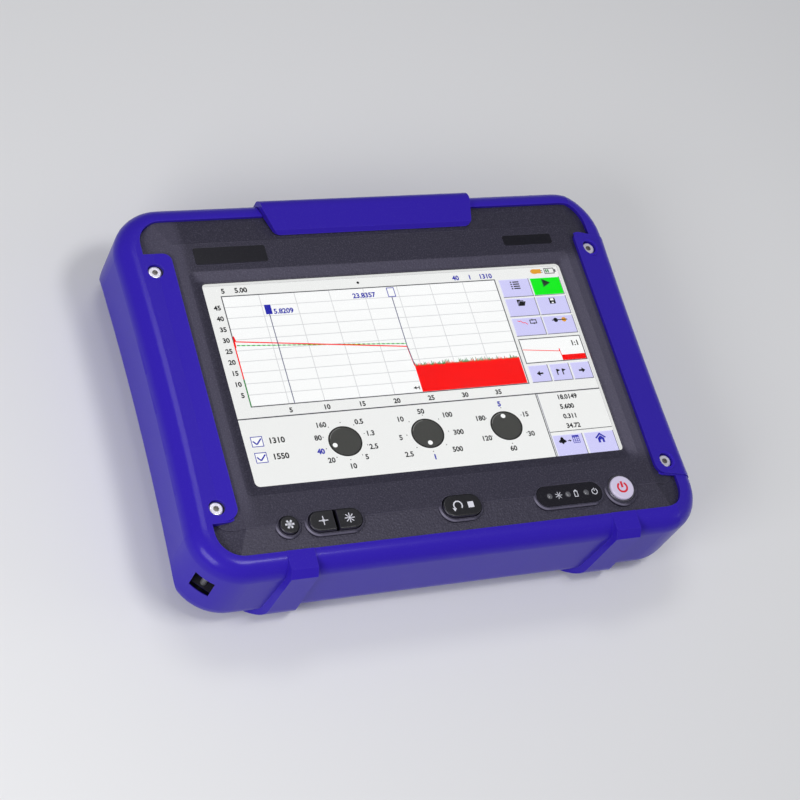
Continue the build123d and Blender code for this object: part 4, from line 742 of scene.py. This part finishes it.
# %% Cut-paper shapes
class Paper:
    """Sheet of one colour: collects polygons, each an array of (x, y) in millimetres."""

    def __init__(self):
        self.points, self.faces = [], []

    def add(self, outline):
        """Adds one polygon, its corners in order."""
        outline = np.asarray(outline, float)
        area = np.sum(outline[:, 0] * np.roll(outline[:, 1], -1)
                      - outline[:, 1] * np.roll(outline[:, 0], -1))
        if area < 0:
            outline = outline[::-1]
        first = len(self.points)
        self.points.extend(outline.tolist())
        self.faces.append(list(range(first, first + len(outline))))

    def rectangle(self, left, low, right, high):
        """Rectangle from two corners."""
        self.add([(left, low), (right, low), (right, high), (left, high)])

    def disc(self, x, y, radius, wide=1.0, corners=48):
        """Ellipse: (x + wide r cos t, y + r sin t)."""
        t = np.linspace(0, 2 * np.pi, corners, endpoint=False)
        self.add(np.c_[x + wide * radius * np.cos(t), y + radius * np.sin(t)])

    def ring(self, x, y, inner, outer, start=0.0, stop=360.0, steps=48, wide=1.0):
        """Part of a ring: quads between two arcs of the same angles."""
        t = np.radians(np.linspace(start, stop, steps + 1))
        cos, sin = wide * np.cos(t), np.sin(t)
        near = np.c_[x + inner * cos, y + inner * sin]
        far = np.c_[x + outer * cos, y + outer * sin]
        for i in range(steps):
            self.add([near[i], far[i], far[i + 1], near[i + 1]])

    def line(self, path, width):
        """Widened path: each run becomes a quad, pushed out by half the width."""
        path = np.asarray(path, float)
        run = np.diff(path, axis=0)
        side = np.c_[-run[:, 1], run[:, 0]] / np.linalg.norm(run, axis=1)[:, None] * width / 2
        for a, b, s in zip(path[:-1], path[1:], side):
            self.add([a - s, b - s, b + s, a + s])

    def frame(self, left, low, right, high, width):
        """Outline of a rectangle, drawn inside its edge."""
        self.rectangle(left, low, right, low + width)
        self.rectangle(left, high - width, right, high)
        self.rectangle(left, low + width, left + width, high - width)
        self.rectangle(right - width, low + width, right, high - width)

    def digits(self, text, x, y, height, align="CENTER", wide=1.0, bold=0.1):
        """Plain figures from Blender's own font, centred on y, made into polygons."""
        curve = bpy.data.curves.new("figures", "FONT")
        curve.body = text
        curve.size = height / 0.72
        curve.align_x = align
        curve.offset = bold
        curve.resolution_u = 3
        holder = bpy.data.objects.new("figures", curve)
        bpy.context.scene.collection.objects.link(holder)
        bpy.context.view_layer.update()
        mesh = bpy.data.meshes.new_from_object(holder)
        first = len(self.points)
        for corner in mesh.vertices:
            self.points.append([x + corner.co.x * wide, y + corner.co.y - height / 2])
        for polygon in mesh.polygons:
            self.faces.append([first + i for i in polygon.vertices])
        bpy.data.objects.remove(holder)
        bpy.data.curves.remove(curve)
        bpy.data.meshes.remove(mesh)

    def cut(self, name, height, body, finish, slot, move=(0.0, 0.0)):
        """Makes the sheet a mesh at a height, and lets it ride on a body."""
        flat = np.array(self.points) + move
        points = np.c_[flat, np.full(len(flat), height)] * MM
        mesh = bpy.data.meshes.new(name)
        mesh.from_pydata(points.tolist(), [], self.faces)
        mesh.materials.append(finish)
        made = bpy.data.objects.new(name, mesh)
        bpy.context.scene.collection.objects.link(made)
        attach(made, body)
        print(name, len(self.faces), "polygons")


# %% [markdown]
# ## Light from the screen
#
# A liquid crystal panel is lit from behind. The lamps sit along its edges, so its
# glow falls off very slightly, and each picture point is too small to see from here.
# The glow is an emission colour at about strength 1, which comes out as the colour
# itself. The pale foam round the panel is no lamp, yet it gets the page's glow as
# painted light, as if the panel lit it.


# %% Glowing finish
def glowing(name, colour, power=1.05):
    """Emission of one screen colour with a soft, uneven backlight."""
    made, tree, face = blank_finish(name)
    tone = use_group(tree, tone_group, Color=colour, Patches_per_metre=9.0, Spread=0.05)
    feed(tree, face.inputs["Emission Color"], tone.outputs["Color"])
    face.inputs["Emission Strength"].default_value = power
    dark = use_group(tree, tone_group, Color=(0.004, 0.004, 0.004, 1), Spread=0.1)
    feed(tree, face.inputs["Base Color"], dark.outputs["Color"])
    face.inputs["Roughness"].default_value = 0.6
    face.inputs["Specular IOR Level"].default_value = 0.1
    return made


screen_colours = {
    "white": tint(250, 250, 250), "page": tint(238, 238, 237), "lilac": tint(207, 204, 247),
    "pale": tint(232, 231, 253), "shade": tint(120, 120, 140), "grid": tint(214, 214, 216),
    "line": tint(76, 76, 82), "ink": tint(14, 14, 18), "blue": tint(38, 40, 168),
    "navy": tint(70, 70, 112), "red": tint(250, 8, 8), "green": tint(8, 236, 24),
    "leaf": tint(30, 128, 52), "amber": tint(226, 158, 44), "knob": tint(68, 68, 66),
    "rim": tint(18, 18, 18), "gleam": tint(132, 132, 130), "dot": tint(252, 252, 252)}
papers = {key: Paper() for key in screen_colours}
# The foam's glow is painted light: an emission in the page's colour on a part that is no lamp.
dress(glowing("foam_painted_glow", screen_colours["page"], 0.9), "foam_gasket")
print(len(papers), "screen colours")

# %% [markdown]
# ## The chart
#
# The chart's grid has the spacing that was measured on the picture. The trace falls
# slowly along the fibre, drops at its far end, and what is left is noise. The noise
# is a red zigzag before a green one: a seeded random height for every other step of
# about a third of a millimetre, and the lowest height between.

# %% Page, chart and grid
screen_x, screen_y = 76.9, 42.9
chart = (-70.0, -9.9, 46.8, 38.1)
step_x, step_y = 14.47, 4.71
zero_x, zero_y = -69.2, -9.4
papers["page"].rectangle(-screen_x, -screen_y, screen_x, screen_y)
grid_half, grid_inset = 0.16, 0.4
papers["white"].rectangle(*chart)
papers["line"].frame(*chart, 0.44)
for i in range(1, 8):
    at = zero_x + i * step_x
    papers["grid"].rectangle(at - grid_half, chart[1] + grid_inset,
                             at + grid_half, chart[3] - grid_inset)
    papers["ink"].digits(str(5 * i), at, -12.3, 2.0)
for i in range(1, 10):
    at = zero_y + i * step_y
    papers["grid"].rectangle(chart[0] + grid_inset, at - grid_half,
                             chart[2] - grid_inset, at + grid_half)
    papers["ink"].digits(str(5 * i), -71.2, at, 2.0, "RIGHT")
papers["line"].rectangle(-screen_x, -14.75, screen_x, -14.25)

# %% Traces and noise
start_x, start_y = -68.9, 16.4
fall_x, fall_y = -0.2, 12.0
dashes = 34
papers["green"].line([(start_x, start_y), (fall_x, fall_y)], 0.3)
for i in range(dashes):
    share = np.array([i, i + 0.55]) / dashes
    path = np.c_[start_x + share * (fall_x - start_x), start_y + share * (fall_y - start_y)]
    papers["leaf"].line(path, 0.42)
papers["red"].line([(-69.5, 15.5), (-69.35, 20.4), (start_x, 18.05), (fall_x, 10.7), (0.5, 2.0)],
                   0.5)
papers["red"].line([(-69.75, 18.0), (-69.75, 2.0)], 0.5)
papers["leaf"].line([(-69.75, 2.0), (-69.75, chart[1] + 0.2)], 0.5)

random = np.random.default_rng(7)
noise_step = 0.33
noise_x = np.arange(0.5, chart[2] - 0.5, noise_step)
for key, base, low, high in (("red", chart[1] + 0.45, 1.7, 3.5), ("leaf", 0.0, 2.1, 4.3)):
    top = random.uniform(low, high, len(noise_x))
    top[::2] = low
    for x, y, y_next in zip(noise_x[:-1], top[:-1], top[1:]):
        papers[key].add([(x, base), (x + noise_step, base), (x + noise_step, y_next), (x, y)])

# %% Markers on the chart
papers["navy"].rectangle(-52.7, chart[1] + 0.4, -52.35, 29.0)
papers["blue"].rectangle(-53.85, 28.9, -51.2, 33.1)
papers["blue"].digits("5.8209", -50.6, 30.05, 2.15, "LEFT")
papers["navy"].line([(fall_x, 33.0), (fall_x, 11.0), (0.5, 2.5)], 0.36)
papers["blue"].frame(-1.6, 33.0, 1.7, 37.3, 0.32)
papers["blue"].digits("23.8357", -6.9, 34.6, 2.15, "RIGHT")
papers["ink"].disc(-12.7, 40.3, 0.55)
papers["ink"].digits("5", -69.4, 40.2, 2.15, "LEFT")
papers["ink"].digits("5.00", -64.0, 40.2, 2.15, "LEFT")
papers["blue"].digits("40", 29.7, 39.8, 2.1)
papers["blue"].digits("1", 36.0, 39.8, 2.1)
papers["blue"].digits("1310", 43.0, 39.8, 2.1)
papers["ink"].add([(-3.0, -7.6), (-1.7, -6.9), (-1.7, -8.3)])
papers["ink"].line([(-1.8, -7.6), (-0.6, -7.6)], 0.35)
papers["ink"].line([(-0.5, -6.8), (-0.5, -8.4)], 0.35)


# %% [markdown]
# ## Soft buttons
#
# The buttons on the right are pale lilac with a light edge at the top left and a
# dark one at the bottom right, an old way of making a flat key look raised. They
# are drawn in a loop, and their icons are a few polygons each.


# %% Button faces
def soft_button(left, low, right, high, face="lilac"):
    """Raised button: dark sheet, pale sheet and face, each a little smaller."""
    papers["shade"].rectangle(left, low, right, high)
    papers["pale"].rectangle(left, low + 0.35, right - 0.35, high)
    papers[face].rectangle(left + 0.3, low + 0.35, right - 0.35, high - 0.3)


columns = ((48.2, 61.9), (62.2, 76.1))
for row, (low, high) in enumerate(((29.3, 37.7), (20.3, 28.8), (11.3, 19.7))):
    for column, (left, right) in enumerate(columns):
        soft_button(left, low, right, high, "green" if (row, column) == (0, 1) else "lilac")
for left, right in ((48.4, 57.3), (57.9, 66.8), (67.3, 76.1)):
    soft_button(left, -9.7, right, -2.0)
soft_button(48.8, -42.7, 62.2, -33.2)
soft_button(62.8, -42.7, 76.2, -33.2)

# %% Icons on the buttons
ink, blue = papers["ink"], papers["blue"]
for i in range(4):
    y = 32.9 + i * 1.0
    ink.rectangle(52.9, y, 53.6, y + 0.55)
    ink.rectangle(54.1, y, 56.9, y + 0.55)
papers["leaf"].add([(67.5, 33.0), (67.5, 37.0), (71.2, 35.0)])
ink.add([(67.8, 33.5), (67.8, 36.6), (70.7, 35.05)])
ink.add([(53.3, 25.0), (56.2, 25.0), (57.1, 27.0), (54.3, 27.0)])
ink.add([(53.3, 25.0), (53.3, 27.9), (54.6, 27.9), (55.0, 27.5), (56.2, 27.5), (56.2, 27.1),
         (54.0, 27.1)])
ink.rectangle(67.8, 25.1, 70.5, 27.8)
papers["dot"].rectangle(68.4, 26.6, 69.9, 27.6)
papers["dot"].rectangle(68.7, 25.3, 69.6, 25.9)
papers["red"].line([(50.6, 18.4), (51.4, 18.0), (52.0, 18.3), (52.9, 17.3), (53.8, 17.4),
                    (54.8, 16.5)], 0.3)
ink.frame(55.9, 16.6, 59.0, 18.5, 0.4)
ink.add([(57.0, 18.9), (57.0, 17.8), (57.8, 18.35)])
ink.add([(57.9, 16.2), (57.9, 17.3), (57.1, 16.75)])
ink.disc(67.7, 17.55, 1.0)
ink.line([(66.0, 17.55), (73.0, 17.55)], 0.4)
papers["amber"].disc(71.5, 17.55, 1.05)
for x, way in ((52.8, -1), (71.7, 1)):
    ink.line([(x - way * 1.4, -5.9), (x + way * 0.3, -5.9)], 0.75)
    ink.add([(x + way * 1.5, -5.9), (x, -4.7), (x, -7.1)])
for x in (60.5, 63.0):
    ink.line([(x, -7.2), (x, -4.6)], 0.5)
    ink.add([(x, -4.4), (x + 1.6, -5.1), (x, -5.8)])
for x, y, size in ((52.6, -36.0, 1.5), (52.6, -34.9, 0.8), (51.5, -36.2, 0.7),
                   (53.7, -36.2, 0.7)):
    ink.add([(x - size, y), (x, y - size), (x + size, y), (x, y + size)])
ink.line([(54.9, -36.1), (55.8, -36.1)], 0.35)
ink.add([(56.6, -36.1), (55.7, -35.6), (55.7, -36.6)])
blue.rectangle(57.2, -34.7, 60.2, -34.0)
for i in range(4):
    blue.rectangle(57.2 + i * 0.92, -37.4, 57.45 + i * 0.92, -34.7)
    blue.rectangle(57.2, -37.4 + i * 0.8, 60.2, -37.2 + i * 0.8)
blue.add([(67.2, -36.0), (69.6, -33.9), (72.0, -36.0), (71.5, -36.4), (69.6, -34.8),
          (67.7, -36.4)])
blue.add([(68.2, -36.3), (69.6, -35.1), (71.0, -36.3), (71.0, -38.2), (70.1, -38.2),
          (70.1, -37.0), (69.2, -37.0), (69.2, -38.2), (68.2, -38.2)])

# %% [markdown]
# ## Overview, readings and status
#
# A small chart repeats the trace, and a panel lists the readings as plain figures.
# In the top right corner are the usual signs for a plug and a battery.

# %% Overview and readings
papers["white"].rectangle(48.2, -1.0, 76.1, 10.0)
papers["line"].frame(48.2, -1.1, 76.1, 10.1, 0.4)
papers["red"].line([(48.7, 5.2), (64.7, 3.5), (64.9, 4.7), (65.1, 1.6)], 0.32)
papers["red"].rectangle(65.0, -0.7, 75.7, 1.7)
ink.digits("1:1", 72.7, 6.7, 2.3)
papers["line"].rectangle(47.6, -42.9, 48.0, -14.5)
papers["shade"].rectangle(48.3, -42.9, 48.6, -14.5)
papers["line"].rectangle(48.6, -31.9, 76.3, -31.6)
for text, y in (("18.0149", -16.9), ("5.600", -21.1), ("0.311", -25.4), ("34.72", -29.6)):
    ink.digits(text, 56.5, y, 2.0, "LEFT")
papers["amber"].disc(65.6, 40.5, 1.15, 1.6)
papers["amber"].rectangle(65.0, 39.5, 68.6, 41.5)
papers["line"].line([(68.5, 40.9), (69.4, 40.9)], 0.3)
papers["line"].line([(68.5, 40.1), (69.4, 40.1)], 0.3)
papers["line"].frame(70.2, 39.2, 74.8, 41.9, 0.35)
papers["line"].rectangle(74.8, 39.9, 75.5, 41.2)
for i in range(2):
    papers["leaf"].rectangle(70.8 + i * 0.9, 39.8, 71.4 + i * 0.9, 41.3)

# %% [markdown]
# ## Tick boxes and dials
#
# Two ticked boxes choose the wavelengths, and three dials set range, pulse width
# and time. Each dial is drawn as a dark disc in a black rim with a pale gleam at the
# upper left and a white dot that points at the chosen figure, which is bold blue.
# The figures stand on an ellipse round the dial, as on the picture.

# %% Tick boxes
for y, text in ((-24.1, "1310"), (-30.7, "1550")):
    blue.frame(-73.6, y - 2.15, -68.9, y + 2.15, 0.3)
    papers["white"].rectangle(-73.3, y - 1.85, -69.2, y + 1.85)
    blue.line([(-72.9, y + 0.3), (-71.55, y - 1.15), (-69.5, y + 1.15)], 0.55)
    ink.digits(text, -66.9, y, 2.35, "LEFT")

# %% Dials
dials = (
    ((-36.9, -27.2), (-41.4, -28.5),
     (("160", -44.8, -19.6), ("0.5", -29.3, -19.6), ("1.3", -26.1, -24.8), ("2.5", -26.2, -30.4),
      ("5", -30.1, -34.4), ("10", -36.6, -37.6), ("20", -44.4, -34.4), ("*40", -47.6, -30.4),
      ("80", -47.3, -24.8)), 10, 90.0),
    ((-2.85, -27.2), (-3.0, -31.2),
     (("50", -3.05, -17.7), ("100", 7.4, -20.1), ("300", 9.9, -27.8), ("500", 7.4, -34.9),
      ("*1", -2.7, -37.2), ("2.5", -12.9, -35.1), ("5", -14.3, -27.9), ("10", -12.4, -20.2)),
     8, 90.0),
    ((30.9, -27.1), (30.7, -22.9),
     (("*5", 30.7, -17.5), ("15", 40.4, -22.9), ("30", 40.3, -31.4), ("60", 30.8, -36.9),
      ("120", 20.9, -31.6), ("180", 20.8, -22.9)), 6, 90.0),
)
dial_radius, dial_wide = 6.3, 1.07
for (x, y), (dot_x, dot_y), figures, ticks, first in dials:
    papers["rim"].disc(x, y, dial_radius, dial_wide, 64)
    papers["knob"].disc(x, y, dial_radius - 0.5, dial_wide, 64)
    papers["gleam"].ring(x, y, dial_radius - 0.85, dial_radius - 0.65, 95, 165, 24, dial_wide)
    papers["dot"].disc(dot_x, dot_y, 0.92, dial_wide)
    for i in range(ticks):
        angle = math.radians(first + i * 360 / ticks)
        ink.disc(x + 8.2 * dial_wide * math.cos(angle), y + 7.8 * math.sin(angle), 0.22, 1.0, 8)
    for text, at_x, at_y in figures:
        chosen = text.startswith("*")
        papers["blue" if chosen else "ink"].digits(
            text.strip("*"), at_x, at_y, 2.1, bold=0.14 if chosen else 0.09)

# %% [markdown]
# ## Stacking the sheets
#
# The sheets lie between the display and the touch glass, two hundredths of a
# millimetre apart, in the order in which they cover each other. Looking in at an
# angle, glass shifts what lies under it, so the drawing moves three tenths of a
# millimetre up and to the right to stand where the picture shows it.

# %% Lay the sheets on the display
display_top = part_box("display_module")[1].z / MM
order = ("page", "white", "shade", "pale", "lilac", "grid", "line", "green", "leaf", "red", "rim",
         "knob", "gleam", "blue", "navy", "amber", "ink", "dot")
first_gap, sheet_step, parallax = 0.03, 0.018, 0.3
for level, key in enumerate(order):
    shift = (0.0, 0.0) if key == "page" else (parallax, parallax)
    papers[key].cut("screen_" + key, display_top + first_gap + sheet_step * level, "case",
                    glowing("glow_" + key, screen_colours[key]), "display_metal", shift)

# %% [markdown]
# ## Icons on the keys
#
# The keys carry white printed signs: a star for the menu, a small and a large sun
# for the light, a curved arrow for the start key, and the power sign in red. Print
# is a skin of ink a few hundredths thick, so the sheets from the screen serve again,
# each riding on its own key so that it goes down with it.


# %% Printed ink
def printed(name, colour):
    """Matt ink with a slightly uneven edge to its tone."""
    return moulded(name, colour, colour, 0.5, grain=2500.0, depth=0.005, spread=0.12,
                   wear=0.0, dust=0.0, scratches=0.2)


ink_white = printed("ink_white", tint(222, 222, 232))
ink_red = printed("ink_red", tint(218, 22, 46))
key_line = -59.8
key_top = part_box("start_stop_button")[1].z / MM
power_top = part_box("power_button")[1].z / MM
power_x = 68.9
print_lift = 0.02


def sun(sheet, x, y, core, reach, rays, width):
    """Disc with short rays: ray i points at 360 i / n degrees."""
    sheet.disc(x, y, core, 1.0, 24)
    for i in range(rays):
        way = np.array([math.cos(2 * math.pi * i / rays), math.sin(2 * math.pi * i / rays)])
        middle = np.array([x, y])
        sheet.line([middle + way * core * 0.6, middle + way * reach], width)


# %% Print the keys
sheet = Paper()
sun(sheet, -69.1, key_line, 0.95, 1.75, 6, 0.75)
sheet.cut("menu_icon", key_top + print_lift, "round_button", ink_white, "key_black")
sheet = Paper()
sun(sheet, -56.0, key_line, 0.6, 1.8, 4, 0.34)
sheet.cut("dim_icon", key_top + print_lift, "brightness_down_button", ink_white, "key_black")
sheet = Paper()
sun(sheet, -45.7, key_line, 0.75, 1.95, 8, 0.34)
sheet.cut("bright_icon", key_top + print_lift, "brightness_up_button", ink_white, "key_black")
sheet = Paper()
sheet.ring(-1.9, key_line, 1.45, 1.95, -40, 220, 32)
sheet.add([(-4.4, key_line - 0.9), (-2.7, key_line - 1.1), (-3.7, key_line - 2.3)])
sheet.rectangle(2.2, key_line - 1.3, 4.6, key_line + 1.1)
sheet.cut("start_icon", key_top + print_lift, "start_stop_button", ink_white, "key_black")
sheet = Paper()
sheet.ring(power_x, key_line, 1.55, 2.35, 122, 418, 40)
sheet.line([(power_x, key_line - 0.1), (power_x, key_line + 2.5)], 0.95)
sheet.cut("power_icon", power_top + print_lift, "power_button", ink_red, "key_white")

# %% [markdown]
# ## Status lamps
#
# Behind the black window three lamps can light up; here they are off, so they look
# like small grey lenses. A lens is a shallow cap: its height over the radius r is
# h (1 - (r/R)^2). Beside each one is a sign for laser, battery and power.


# %% Lenses and signs in the lamp window
def lens_cap(x, y, z, radius, height, rings=6, spokes=24):
    """Shallow cap: z + height (1 - (r/R)^2) over radius and angle, closed at its top."""
    r = np.linspace(1, 0, rings + 1)[:-1, None] * radius
    t = np.linspace(0, 2 * np.pi, spokes, endpoint=False)[None, :]
    grid = np.stack([x + r * np.cos(t), y + r * np.sin(t),
                     z + height * (1 - (r / radius) ** 2) + 0 * t], -1).reshape(-1, 3)
    points = np.vstack([grid, [x, y, z + height]])
    i, j = np.meshgrid(np.arange(rings - 1), np.arange(spokes), indexing="ij")
    a = (i * spokes + j).ravel()
    b = (i * spokes + (j + 1) % spokes).ravel()
    quads = np.c_[a, b, b + spokes, a + spokes].tolist()
    last = (rings - 1) * spokes
    j = np.arange(spokes)
    fan = np.c_[last + j, last + (j + 1) % spokes, np.full(spokes, len(points) - 1)].tolist()
    return points, quads + fan


window_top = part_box("lamp_window")[1].z / MM
first_lamp, lamp_pitch, lens_radius, lens_height = 37.4, 7.95, 1.15, 0.35
points, faces = [], []
for i in range(3):
    cap, cap_faces = lens_cap(first_lamp + lamp_pitch * i, key_line, window_top, lens_radius,
                              lens_height)
    faces += [[corner + i * len(cap) for corner in face] for face in cap_faces]
    points.append(cap)
mesh = bpy.data.meshes.new("lamp_lenses")
mesh.from_pydata((np.vstack(points) * MM).tolist(), [], faces)
mesh.polygons.foreach_set("use_smooth", np.ones(len(mesh.polygons), bool))
mesh.materials.append(moulded("lens_grey", tint(92, 92, 98), tint(130, 130, 136), 0.2,
                              grain=3000.0, depth=0.004, spread=0.1, wear=0.1, dust=0.0))
lenses = bpy.data.objects.new("lamp_lenses", mesh)
bpy.context.scene.collection.objects.link(lenses)
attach(lenses, "case")

sheet = Paper()
sun(sheet, 41.3, key_line, 0.45, 1.5, 7, 0.22)
sheet.frame(48.0, key_line - 1.4, 49.6, key_line + 1.1, 0.28)
sheet.rectangle(48.4, key_line + 1.1, 49.2, key_line + 1.5)
sheet.ring(57.0, key_line, 1.0, 1.3, 115, 425, 30)
sheet.line([(57.0, key_line + 0.2), (57.0, key_line + 1.5)], 0.3)
sheet.cut("lamp_icons", window_top + print_lift, "case", ink_white, "window_black")
